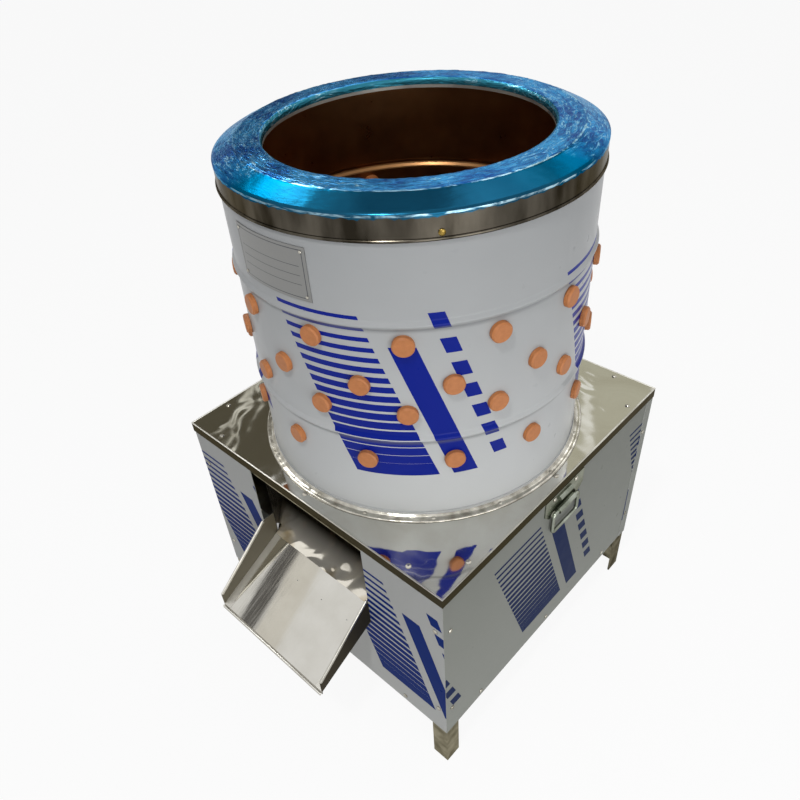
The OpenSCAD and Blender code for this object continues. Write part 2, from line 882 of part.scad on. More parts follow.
module wall_fingers(row) {
  color(rubber_orange) finger_places(row) plucking_finger(finger_wall);
}

module plate_rivet_places() {
  for (s = [-1, 1], z = [plate_rivet_in, plate_h - plate_rivet_in])
    out_of_barrel(plate_middle + s * plate_rivet_angle, plate_in + plate_t + gap, deck_height + plate_z + z)
      children();
}

module plate_rivet_drill() {
  translate([0, 0, -10]) cylinder(d = shank_d / 2 + 2 * fit, h = 15);
}

module name_plate() {
  color([0.78, 0.78, 0.76])
    difference() {
      translate([0, 0, deck_height + plate_z])
        rotate([0, 0, plate_middle - plate_angle / 2])
          rotate_extrude(angle = plate_angle, $fn = 128)
            translate([plate_in, 0]) square([plate_t, plate_h]);
      plate_rivet_places() plate_rivet_drill();
    }
}

module name_plate_rivets() {
  color(zinc)
    plate_rivet_places()
      dome_rivet(rivet_d / 2, rivet_h / 2, shank_d / 2, plate_t + barrel_sheet + 2 * tail);
}

module turntable_finger_places(count, r) {
  for (i = [0:count - 1])
    rotate([0, 0, 360 * i / count]) translate([r, 0, turntable_top - turntable_t]) children();
}

module turntable() {
  color(steel)
    difference() {
      union() {
        translate([0, 0, turntable_top - turntable_t])
          cylinder(r = turntable_r, h = turntable_t, $fn = 128);
        translate([0, 0, hub_bottom]) cylinder(d = hub_d, h = hub_h + eps);
      }
      cylinder(r = shaft_bore_r, h = deck_height);
      turntable_finger_places(inner_fingers, inner_ring_r) finger_hole();
      turntable_finger_places(outer_fingers, outer_ring_r) finger_hole();
    }
}

module finger_hole() {
  cylinder(d = neck_d + 2 * gap, h = drill_l, center = true);
}

module turntable_inner_fingers() {
  color(rubber_orange)
    turntable_finger_places(inner_fingers, inner_ring_r) plucking_finger(turntable_t);
}

module turntable_outer_fingers() {
  color(rubber_orange)
    turntable_finger_places(outer_fingers, outer_ring_r) plucking_finger(turntable_t);
}

// A cap screw with a wide washer, driven into a shaft's end
module end_bolt(washer_d) {
  cylinder(d = washer_d, h = washer_t);
  translate([0, 0, washer_t - eps])
    cylinder(d = hex_across * cap_bolt_d * hex_ratio, h = hex_head * cap_bolt_d, $fn = 6);
  translate([0, 0, -cap_bolt_l]) cylinder(d = cap_bolt_d, h = cap_bolt_l + eps);
}

module turntable_bolt() {
  color(zinc) translate([0, 0, turntable_top]) end_bolt(hub_d * 0.7);
}

module main_shaft() {
  color(zinc)
    difference() {
      union() {
        translate([0, 0, pulley_bottom]) cylinder(d = shaft_d, h = turntable_top - pulley_bottom);
        translate([0, 0, housing_top]) cylinder(d = shoulder_d, h = hub_bottom - housing_top);
      }
      for (z = [turntable_top - cap_bolt_l - tap_room, pulley_bottom - tap_room])
        translate([0, 0, z]) cylinder(d = cap_bolt_d + 2 * fit, h = cap_bolt_l + 2 * tap_room);
    }
}

module bearing_housing() {
  color(castings)
    difference() {
      union() {
        translate([0, 0, housing_bottom]) cylinder(d = housing_d, h = housing_top - housing_bottom);
        block([-housing_flange / 2, -housing_flange / 2, beam_top],
              [housing_flange / 2, housing_flange / 2, beam_top + housing_flange_t]);
      }
      cylinder(r = bearing_d / 2 - bearing_step, h = deck_height);
      translate([0, 0, housing_top - bearing_w]) cylinder(r = bearing_d / 2 + fit, h = bearing_w + 1);
      translate([0, 0, housing_bottom - 1]) cylinder(r = bearing_d / 2 + fit, h = bearing_w + 1);
      bearing_bolt_places() bolt_drill();
    }
}

module bearing_ring(outer_r, inner_r, bottom) {
  translate([0, 0, bottom])
    difference() {
      cylinder(r = outer_r, h = bearing_w);
      translate([0, 0, -1]) cylinder(r = inner_r, h = bearing_w + 2);
    }
}

module upper_bearing() {
  color(zinc) bearing_ring(bearing_d / 2, race_r + gap, housing_top - bearing_w);
}

module upper_bearing_race() {
  color(steel) bearing_ring(race_r, shaft_bore_r, housing_top - bearing_w);
}

module lower_bearing() {
  color(zinc) bearing_ring(bearing_d / 2, race_r + gap, housing_bottom);
}

module lower_bearing_race() {
  color(steel) bearing_ring(race_r, shaft_bore_r, housing_bottom);
}

module bearing_bolt_places() {
  for (sx = [-1, 1], sy = [-1, 1])
    translate([sx * housing_bolt_at, sy * housing_bolt_at, beam_top + housing_flange_t]) children();
}

module carrier_bolt_places() {
  for (sx = [-1, 1], y = [-beam_w * 0.25, beam_w * 0.25, motor_y - plate_bolt_y, motor_y + plate_bolt_y])
    translate([sx * carrier_bolt_x, y, beam_top]) children();
}

module bearing_beam() {
  reach = leg_in - rail_t - gap;
  wide = beam_w / 2;
  color(angle_iron)
    difference() {
      union() {
        block([-reach, -wide, carrier_top], [reach, wide, beam_top]);
        for (y = [-wide, wide - beam_t])
          block([-reach, y, carrier_top], [reach, y + beam_t, carrier_top + beam_h]);
      }
      cylinder(r = beam_web_r, h = deck_height);
      bearing_bolt_places() bolt_drill();
      carrier_bolt_places() bolt_drill();
    }
}

module bearing_bolts() {
  color(zinc) bearing_bolt_places() hex_bolt(bolt_d, housing_flange_t + beam_t);
}

module carrier_bolts() {
  color(zinc) carrier_bolt_places() hex_bolt(bolt_d, beam_t + rail_t);
}

// A grooved pulley centred on z = 0, with a hub that reaches up to hub_top
module grooved_pulley(r, bore_r, hub_r, hub_top) {
  mouth = belt_w / 2 + groove_clear;
  floor_half = mouth - groove_depth * tan(groove_angle);
  wide = pulley_w / 2;
  rotate_extrude($fn = 96)
    polygon([
      [bore_r, -wide], [r, -wide], [r, -mouth], [r - groove_depth, -floor_half],
      [r - groove_depth, floor_half], [r, mouth], [r, wide], [hub_r, wide],
      [hub_r, hub_top], [bore_r, hub_top]
    ]);
}

module driven_pulley() {
  holes = 5;
  hole_r = (driven_r - groove_depth - driven_hub_d / 2) * 0.32;
  color(castings)
    translate([0, 0, belt_z])
      difference() {
        grooved_pulley(driven_r, shaft_bore_r, driven_hub_d / 2, housing_bottom - belt_z - 2);
        for (i = [0:holes - 1])
          rotate([0, 0, 360 * i / holes])
            translate([(driven_r - groove_depth + driven_hub_d / 2) / 2, 0, -pulley_w])
              cylinder(r = hole_r, h = 2 * pulley_w);
      }
}

module driven_pulley_bolt() {
  color(zinc) translate([0, 0, pulley_bottom]) rotate([180, 0, 0]) end_bolt(driven_hub_d * 0.9);
}

// The belt's loop as pulley number and direction, once round from the driven pulley
belt_path = concat(
  [for (i = [0:belt_steps]) [0, 90 + belt_lean + (360 - 2 * belt_lean) * i / belt_steps]],
  [for (i = [0:belt_steps / 4]) [1, 90 - belt_lean + 8 * belt_lean * i / belt_steps]]
);

// A point of the belt at a depth under its back and a height off its middle
function belt_point(place, depth, z) =
  let (r = (place[0] == 0 ? driven_r : motor_pulley_r) - belt_drop - depth)
    [r * cos(place[1]), place[0] * motor_y + r * sin(place[1]), belt_z + z];

module drive_belt() {
  back = belt_w / 2;
  foot = back - belt_h * tan(groove_angle);
  corners = [[0, -back], [0, back], [belt_h, foot], [belt_h, -foot]];
  count = len(belt_path);
  color(belt_black)
    polyhedron(
      points = [for (place = belt_path, c = corners) belt_point(place, c[0], c[1])],
      faces = [
        for (i = [0:count - 1], j = [0:3])
          let (next = (i + 1) % count, side = (j + 1) % 4)
            [4 * i + j, 4 * i + side, 4 * next + side, 4 * next + j]
      ]
    );
}

module at_motor() {
  translate([0, motor_y, 0]) children();
}

module motor_frame() {
  fin_w = 2.6;
  rim_h = 5;
  step = 360 / fin_count;
  color(motor_grey)
    at_motor() difference() {
      union() {
        translate([0, 0, frame_bottom]) cylinder(r = motor_r, h = motor_length);
        for (z = [frame_bottom, frame_top - rim_h])
          translate([0, 0, z]) cylinder(r = fin_r, h = rim_h);
        for (i = [3:fin_count - 3]) rotate([0, 0, step * i])
          block([motor_r - 2, -fin_w / 2, frame_bottom], [fin_r - 0.5, fin_w / 2, frame_top]);
        block([0, -box_l / 2, box_low], [fin_r, box_l / 2, box_low + box_h]);
      }
      cylinder(r = motor_shaft_r + fit, h = deck_height);
    }
}

module motor_bolt_places() {
  for (i = [0:3])
    at_motor() rotate([0, 0, 45 + 90 * i]) translate([motor_bolt_r, 0, bell_bottom + bell_t]) children();
}

module motor_bolt_drill() {
  cylinder(d = motor_bolt_d + 2 * fit, h = 2 * drill_l, center = true);
}

module motor_end_bell() {
  color(motor_grey)
    difference() {
      at_motor() difference() {
        union() {
          translate([0, 0, bell_bottom]) cylinder(d = flange_d, h = bell_t);
          translate([0, 0, bell_bottom]) cylinder(r = motor_r, h = bell_h);
        }
        cylinder(r = motor_shaft_r + fit, h = deck_height);
      }
      motor_bolt_places() motor_bolt_drill();
    }
}

module motor_fan_cover() {
  slots = 12;
  color(motor_grey)
    at_motor() translate([0, 0, frame_top])
      difference() {
        cylinder(r = fin_r, h = fan_cover_h);
        translate([0, 0, -1]) cylinder(r = fin_r - cover_t, h = fan_cover_h + 1 - cover_t);
        for (i = [0:slots - 1], r = [0.45, 0.72])
          rotate([0, 0, 360 * (i + r) / slots]) translate([fin_r * r, 0, 0])
            cylinder(r = fin_r * 0.07, h = fan_cover_h + 1);
      }
}

module motor_fan() {
  blades = 7;
  fan_r = fin_r - 10;
  hub_r = motor_shaft_r + 6;
  blade_t = 2;
  color(belt_black)
    at_motor() translate([0, 0, fan_bottom])
      difference() {
        union() {
          cylinder(r = hub_r, h = fan_h);
          cylinder(r = fan_r, h = blade_t);
          for (i = [0:blades - 1]) rotate([0, 0, 360 * i / blades])
            block([hub_r - 1, -blade_t / 2, blade_t / 2], [fan_r - blade_t, blade_t / 2, fan_h - blade_t]);
        }
        translate([0, 0, -1]) cylinder(r = motor_shaft_r + fit, h = fan_h + 2);
      }
}

module motor_terminal_box() {
  lid_t = 4;
  inset = 3;
  color(motor_grey)
    at_motor() {
      block([fin_r, -box_l / 2 + inset, box_low + inset],
            [fin_r + box_w, box_l / 2 - inset, box_low + box_h - inset]);
      block([fin_r + box_w - lid_t, -box_l / 2, box_low], [fin_r + box_w, box_l / 2, box_low + box_h]);
    }
}

module motor_shaft() {
  color(zinc)
    at_motor() translate([0, 0, pulley_bottom])
      cylinder(r = motor_shaft_r, h = fan_bottom + fan_h - pulley_bottom);
}

module motor_pulley() {
  color(castings)
    at_motor() translate([0, 0, belt_z])
      grooved_pulley(motor_pulley_r, motor_shaft_r + fit, motor_pulley_r - groove_depth, pulley_w / 2 + 6);
}

module motor_plate() {
  reach = leg_in - rail_t - gap;
  color(angle_iron)
    difference() {
      block([-reach, motor_y - plate_wide, carrier_top], [reach, motor_y + plate_wide, beam_top]);
      at_motor() cylinder(d = plate_slot, h = deck_height);
      motor_bolt_places() motor_bolt_drill();
      carrier_bolt_places() bolt_drill();
    }
}

module motor_bolts() {
  color(zinc) motor_bolt_places() hex_bolt(motor_bolt_d, bell_t + beam_t);
}

module gland_place() {
  out_of_side(2, -gland_x, gland_height) children();
}

module cable_gland() {
  nut_l = 5;
  thread_end = 4;
  color(castings)
    gland_place() difference() {
      union() {
        cylinder(d = gland_nut_d * hex_ratio, h = gland_nut_l, $fn = 6);
        translate([0, 0, gland_nut_l - eps])
          cylinder(d1 = gland_nut_d, d2 = gland_stem_d + 2, h = gland_cap_l + eps);
        translate([0, 0, -panel_sheet - nut_l - thread_end])
          cylinder(d = gland_stem_d, h = panel_sheet + nut_l + thread_end + eps);
        translate([0, 0, -panel_sheet - nut_l]) cylinder(d = gland_nut_d * hex_ratio, h = nut_l, $fn = 6);
      }
      cylinder(d = gland_bore, h = 2 * drill_l, center = true);
    }
}

// Handles face +X and -X and lie the same distance behind the middle
function handle_x(k) = k == 1 ? handle_y : -handle_y;

module handle_rivet_places(k) {
  for (s = [-1, 1])
    out_of_side(k, handle_x(k) + s * handle_rivet_x, handle_rivet_z, handle_t) children();
}

// Runs a cylinder along a side's own x axis
module along_side(low, high, r) {
  translate([low, 0, 0]) rotate([0, 90, 0]) cylinder(r = r, h = high - low);
}

module handle_plate(k) {
  cut = handle_h * 0.28;
  low = handle_top - handle_h;
  wide = handle_w / 2;
  color(zinc)
    difference() {
      union() {
        on_side(k) translate([handle_x(k), -panel_face, 0]) rotate([90, 0, 0])
          linear_extrude(handle_t)
            polygon([
              [-wide, handle_top], [wide, handle_top], [wide, low + cut],
              [wide - cut, low], [cut - wide, low], [-wide, low + cut]
            ]);
        on_side(k) translate([handle_x(k), -pivot_out, pivot_z])
          along_side(-knuckle_w / 2, knuckle_w / 2, knuckle_r);
        on_side(k) translate([handle_x(k), -panel_face - handle_t, handle_rib_z])
          intersection() {
            along_side(-handle_rib_l / 2, handle_rib_l / 2, handle_rib_r);
            block([-handle_rib_l, -2 * handle_rib_r, -handle_rib_r],
                  [handle_rib_l, handle_t / 2, handle_rib_r]);
          }
      }
      on_side(k) translate([handle_x(k), -pivot_out, pivot_z])
        along_side(-handle_w, handle_w, wire_d / 2 + fit);
      handle_rivet_places(k) rivet_drill();
    }
}

// A closed wire loop that hangs from its upper bar
module handle_bail(k) {
  wire_r = wire_d / 2;
  side = bail_w / 2 - wire_r;
  flat = side - bail_round;
  color(zinc)
    on_side(k) translate([handle_x(k), -pivot_out, pivot_z]) {
      for (z = [0, -bail_drop]) translate([0, 0, z]) along_side(-flat, flat, wire_r);
      for (x = [-side, side])
        translate([x, 0, -bail_drop + bail_round]) cylinder(r = wire_r, h = bail_drop - 2 * bail_round);
      for (m = [0, 1], n = [0, 1]) mirror([m, 0, 0])
        translate([flat, 0, n == 0 ? -bail_round : -bail_drop + bail_round])
          rotate([90, n == 0 ? 0 : 90, 0])
            rotate_extrude(angle = 90) translate([bail_round, 0]) circle(r = wire_r, $fn = 32);
    }
}

module handle_plate_right() { handle_plate(1); }
module handle_plate_left() { handle_plate(3); }
module handle_bail_right() { handle_bail(1); }
module handle_bail_left() { handle_bail(3); }

module handle_rivets() {
  color(zinc)
    for (k = [1, 3]) handle_rivet_places(k)
      dome_rivet(rivet_d, rivet_h, shank_d, handle_t + panel_sheet + tail);
}

placed() angle_leg(-1, -1);  // leg_front_left
placed() angle_leg(1, -1);  // leg_front_right
placed() angle_leg(-1, 1);  // leg_rear_left
placed() angle_leg(1, 1);  // leg_rear_right
placed() upper_rails();
placed() lower_rails();
placed() carrier_rails();
placed() front_panel();
placed() right_panel();
placed() rear_panel();
placed() left_panel();
placed() panel_rivets();
placed() deck();
placed() deck_screws();
placed() feather_pan();
placed() discharge_chute();
placed() chute_rivets();
placed() barrel();
placed() foot_ring();
placed() foot_ring_rivets();
placed() rim_band();
placed() rim_screws();
placed() rim_cover();
placed() wall_fingers(0);  // wall_fingers_row_1
placed() wall_fingers(1);  // wall_fingers_row_2
placed() wall_fingers(2);  // wall_fingers_row_3
placed() wall_fingers(3);  // wall_fingers_row_4
placed() name_plate();
placed() name_plate_rivets();
placed() turntable();
placed() turntable_inner_fingers();
placed() turntable_outer_fingers();
placed() turntable_bolt();
placed() main_shaft();
placed() bearing_housing();
placed() upper_bearing();
placed() upper_bearing_race();
placed() lower_bearing();
placed() lower_bearing_race();
placed() bearing_beam();
placed() bearing_bolts();
placed() carrier_bolts();
placed() driven_pulley();
placed() driven_pulley_bolt();
placed() drive_belt();
placed() motor_frame();
placed() motor_end_bell();
placed() motor_fan_cover();
placed() motor_fan();
placed() motor_terminal_box();
placed() motor_shaft();
placed() motor_pulley();
placed() motor_plate();
placed() motor_bolts();
placed() cable_gland();
placed() handle_plate_right();
placed() handle_plate_left();
placed() handle_bail_right();
placed() handle_bail_left();
placed() handle_rivets();
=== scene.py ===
import bpy
import math
from mathutils import Matrix, Quaternion, Vector


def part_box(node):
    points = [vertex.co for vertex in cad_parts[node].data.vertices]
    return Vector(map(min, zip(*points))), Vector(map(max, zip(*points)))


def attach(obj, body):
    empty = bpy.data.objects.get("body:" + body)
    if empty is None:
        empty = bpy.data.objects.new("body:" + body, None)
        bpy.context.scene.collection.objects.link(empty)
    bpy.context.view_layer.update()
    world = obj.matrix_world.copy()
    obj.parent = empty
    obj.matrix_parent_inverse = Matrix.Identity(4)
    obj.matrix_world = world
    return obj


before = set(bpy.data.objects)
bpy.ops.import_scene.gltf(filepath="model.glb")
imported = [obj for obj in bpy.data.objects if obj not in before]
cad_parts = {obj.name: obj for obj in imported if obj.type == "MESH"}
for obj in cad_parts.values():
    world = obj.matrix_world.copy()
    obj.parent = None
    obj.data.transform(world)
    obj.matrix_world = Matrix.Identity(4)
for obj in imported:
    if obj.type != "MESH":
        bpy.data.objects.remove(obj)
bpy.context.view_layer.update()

mm = 0.001
perMetre = 1000  # millimetres, for the scale of patterns
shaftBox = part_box("main_shaft")
axisY = (shaftBox[0][1] + shaftBox[1][1]) / 2  # the barrel's axis in y
aboutAxis = {"Location": (0, -perMetre * axisY, 0), "Scale": (perMetre,) * 3}  # millimetres from that axis
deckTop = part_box("deck")[1][2]
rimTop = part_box("rim_cover")[1][2]
print("frame loaded,", len(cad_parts), "nodes")


def hexColour(code):  # sRGB hex to linear
    values = [int(code[i:i + 2], 16) / 255 for i in (1, 3, 5)]
    return [v / 12.92 if v <= 0.04045 else ((v + 0.055) / 1.055) ** 2.4 for v in values] + [1.0]


def addNode(mat, kind, inputs=None, **settings):
    node = mat.node_tree.nodes.new(kind)
    for name, value in settings.items():
        setattr(node, name, value)
    for name, value in (inputs or {}).items():
        if isinstance(value, bpy.types.NodeSocket):
            mat.node_tree.links.new(value, node.inputs[name])
        else:
            node.inputs[name].default_value = value
    return node


def newMaterial(name):
    mat = bpy.data.materials.new(name)
    mat.use_nodes = True
    mat.node_tree.nodes.clear()
    return mat


def setMaterial(mat, *names):
    for name in names:
        obj = bpy.data.objects[name]
        obj.data.materials.clear()
        obj.data.materials.append(mat)


def deselectAll():
    if bpy.context.object and bpy.context.object.mode != "OBJECT":
        bpy.ops.object.mode_set(mode="OBJECT")
    bpy.ops.object.select_all(action="DESELECT")


# camera fitted to the photograph
cameraPlace = {
    "at": (0.6406, -0.6858 + axisY, 1.2320),
    "right": (0.7252, 0.6847, -0.0724),
    "up": (-0.4064, 0.5106, 0.7577),
    "lens": 32.0,
    "shift": (0.0175, 0.0274),
    "sensor": 36.0,
    "nearest": 0.01,
}
cameraData = bpy.data.cameras.new("camera")
camera = bpy.data.objects.new("camera", cameraData)
bpy.context.scene.collection.objects.link(camera)
rightWay = Vector(cameraPlace["right"]).normalized()
backWay = rightWay.cross(Vector(cameraPlace["up"])).normalized()
upWay = backWay.cross(rightWay)
turn = Matrix((rightWay, upWay, backWay)).transposed().to_4x4()
camera.matrix_world = Matrix.Translation(cameraPlace["at"]) @ turn
cameraData.lens = cameraPlace["lens"]
cameraData.sensor_width = cameraPlace["sensor"]
cameraData.shift_x, cameraData.shift_y = cameraPlace["shift"]
cameraData.clip_start = cameraPlace["nearest"]
bpy.context.scene.camera = camera
bpy.context.scene.view_settings.view_transform = "Standard"
print("camera set")

# studio: white round about, five soft lamps, and cards that only shiny faces see
studio = {"sky": (0.97, 0.98, 1.0, 1), "skyLight": 0.29, "floor": (0.9, 0.9, 0.9, 1), "floorGlow": 0.92,
          "floorSize": 80, "aim": (0, axisY, 0.7)}  # metres; the lamps point at aim
world = bpy.data.worlds.new("studio")
bpy.context.scene.world = world
world.use_nodes = True
world.node_tree.nodes.clear()
path = addNode(world, "ShaderNodeLightPath")
seen = addNode(world, "ShaderNodeMath",
               {0: path.outputs["Is Camera Ray"], 1: path.outputs["Is Glossy Ray"]}, operation="MAXIMUM")
seen = addNode(world, "ShaderNodeMath", {0: seen.outputs[0], 1: path.outputs["Is Transmission Ray"]},
               operation="MAXIMUM")
sky = addNode(world, "ShaderNodeBackground", {"Color": studio["sky"], "Strength": studio["skyLight"]})
white = addNode(world, "ShaderNodeBackground", {"Color": (1, 1, 1, 1), "Strength": 1.0})
mixed = addNode(world, "ShaderNodeMixShader", {0: seen.outputs[0], 1: sky.outputs[0], 2: white.outputs[0]})
addNode(world, "ShaderNodeOutputWorld", {"Surface": mixed.outputs[0]})

lamps = [  # name, place, size, watts, whether matt faces catch it
    ("leftLamp", (-1.15, 0.1, 2.1), 0.5, 9, False),
    ("topLamp", (-0.1, 0.9, 2.9), 1.5, 8, True),
    ("rearLamp", (0.1, 1.8, 2.1), 0.4, 1.2, True),
    ("frontLamp", (2.0, -0.92, 0.75), 1.6, 21, True),
    ("headLamp", (0.5, -1.25, 2.85), 0.25, 22, True),
]
for name, at, size, watts, onMatt in lamps:
    lamp = bpy.data.lights.new(name, "AREA")
    lamp.size = size
    lamp.energy = watts
    lampObj = bpy.data.objects.new(name, lamp)
    bpy.context.scene.collection.objects.link(lampObj)
    lampObj.location = at
    lampObj.visible_diffuse = onMatt
    lampObj.rotation_euler = (Vector(studio["aim"]) - Vector(at)).to_track_quat("-Z", "Y").to_euler()

deselectAll()
bpy.ops.mesh.primitive_plane_add(size=studio["floorSize"], location=(0, 0, 0))
floor = bpy.context.object
floor.name = "floor"
paper = newMaterial("matt white paper")
path = addNode(paper, "ShaderNodeLightPath")
seen = addNode(paper, "ShaderNodeMath",
               {0: path.outputs["Is Camera Ray"], 1: path.outputs["Is Glossy Ray"]}, operation="MAXIMUM")
seen = addNode(paper, "ShaderNodeMath", {0: seen.outputs[0], 1: path.outputs["Is Transmission Ray"]},
               operation="MAXIMUM")
glow = addNode(paper, "ShaderNodeMath", {0: seen.outputs[0], 1: studio["floorGlow"]}, operation="MULTIPLY")
matt = addNode(paper, "ShaderNodeBsdfDiffuse", {"Color": studio["floor"]})
lit = addNode(paper, "ShaderNodeEmission", {"Color": (1, 1, 1, 1), "Strength": 1.0})
mixed = addNode(paper, "ShaderNodeMixShader", {0: glow.outputs[0], 1: matt.outputs[0], 2: lit.outputs[0]})
addNode(paper, "ShaderNodeOutputMaterial", {"Surface": mixed.outputs[0]})
floor.data.materials.append(paper)

cards = [  # name, place, what it faces, width and height, roll, colour
    ("card_behind", (-2.0, 1.1, 1.95), (-1.1, 0.66, 1.95), (1.6, 1.5), 0.0, "#5C5749"),
    ("card_left_dark", (-0.911, -0.972, 1.273), (-0.05, -0.28, 0.26), (0.06, 0.8), -0.855, "#6A6866"),
    ("card_left_grey", (-0.842, -0.986, 1.32), (-0.05, -0.28, 0.26), (0.1, 0.8), -0.855, "#F2EFE8"),
    ("card_over", (-0.26, 0.27, 2.3), (0.16, -0.17, 0.925), (0.7, 0.7), 0.0, "#BEC4C8"),
    ("card_right", (-0.36, 1.5, 1.78), (0.26, 0.2, 0.46), (0.45, 0.9), 0.0, "#C8C6B4"),
    ("strip_right", (-0.37, 1.42, 1.63), (0.235, 0.2, 0.46), (0.045, 0.32), -0.22, "#FFFFFA"),
    ("strip_left", (-1.6, 0.56, 1.7), (-0.22, -0.18, 0.46), (0.035, 0.6), 0.7, "#E8E6DC"),
    ("strip_front", (-1.2, 0.62, 1.86), (-0.02, -0.21, 0.46), (0.03, 0.4), -0.5, "#E8E6DC"),
]
for name, at, target, (wide, high), roll, colour in cards:
    deselectAll()
    bpy.ops.mesh.primitive_plane_add(size=1, location=at)
    card = bpy.context.object
    card.name = name
    facing = (Vector(target) - Vector(at)).to_track_quat("Z", "Y")
    card.rotation_euler = (facing @ Quaternion((0, 0, 1), roll)).to_euler()
    card.scale = (wide, high, 1)
    card.visible_camera = False
    card.visible_diffuse = False
    card.visible_transmission = False
    card.visible_shadow = False
    cardGlow = newMaterial("felt, " + name)  # glowing evenly and seen only in reflections: each card is a painted reflection of one plain tone, and the bright strips painted highlights
    even = addNode(cardGlow, "ShaderNodeEmission", {"Color": hexColour(colour), "Strength": 1.0})
    addNode(cardGlow, "ShaderNodeOutputMaterial", {"Surface": even.outputs[0]})
    card.data.materials.append(cardGlow)
print("studio set")


# rings of a sheet, laid one after the other from the first edge to the last
def layRings(name, sides, rings, turned=0.0):
    deselectAll()
    radius, height = rings[0]
    bpy.ops.mesh.primitive_circle_add(vertices=sides, radius=radius * mm, location=(0, axisY, height * mm),
                                      rotation=(0, 0, turned))
    bpy.ops.object.transform_apply(location=True, rotation=True, scale=True)
    piece = bpy.context.object
    piece.name = name
    bpy.ops.object.mode_set(mode="EDIT")
    bpy.ops.mesh.select_all(action="SELECT")
    for nextRadius, nextHeight in rings[1:]:
        bpy.ops.mesh.extrude_edges_move(
            TRANSFORM_OT_translate={"value": (0, 0, (nextHeight - height) * mm)})
        ratio = nextRadius / radius
        bpy.ops.transform.resize(value=(ratio, ratio, 1), center_override=(0, axisY, 0))
        radius, height = nextRadius, nextHeight
    bpy.ops.mesh.select_all(action="SELECT")
    bpy.ops.mesh.normals_make_consistent(inside=False)
    bpy.ops.object.mode_set(mode="OBJECT")
    return piece


def applyModifier(piece, kind, **settings):
    bpy.context.view_layer.objects.active = piece
    modifier = piece.modifiers.new(kind.lower(), kind)
    for name, value in settings.items():
        setattr(modifier, name, value)
    bpy.ops.object.modifier_apply(modifier=modifier.name)


# printed protective film on sheet steel: pale, smooth and half glossy, with blue bars printed on it
# the height range given here is where painted shade darkens the barrel's film towards the top; the crease
# colour is painted shade under each bead; the flange colour is the sides' darker tone, painted shade
filmLook = {"steel": "#A87A4C", "rust": "#5E4430", "flange": "#8E908A", "crease": "#6E7072", "lean": 0.36,
            "radius": 250.0, "topShade": (-190, 230), "beads": (786, 611), "creaseDrop": 6, "creaseHalf": 5.5}
# middle and half width, middle and half height, pitch, share inked at the head and at the foot
filmBars = [
    (-62, 58, 4, 131, 15, 0.3, 1.05),
    (32, 17, -22, 106, 300, 1.0, 1.0),
    (90, 10, 3.8, 125.8, 36, 0.6, 0.6),
]


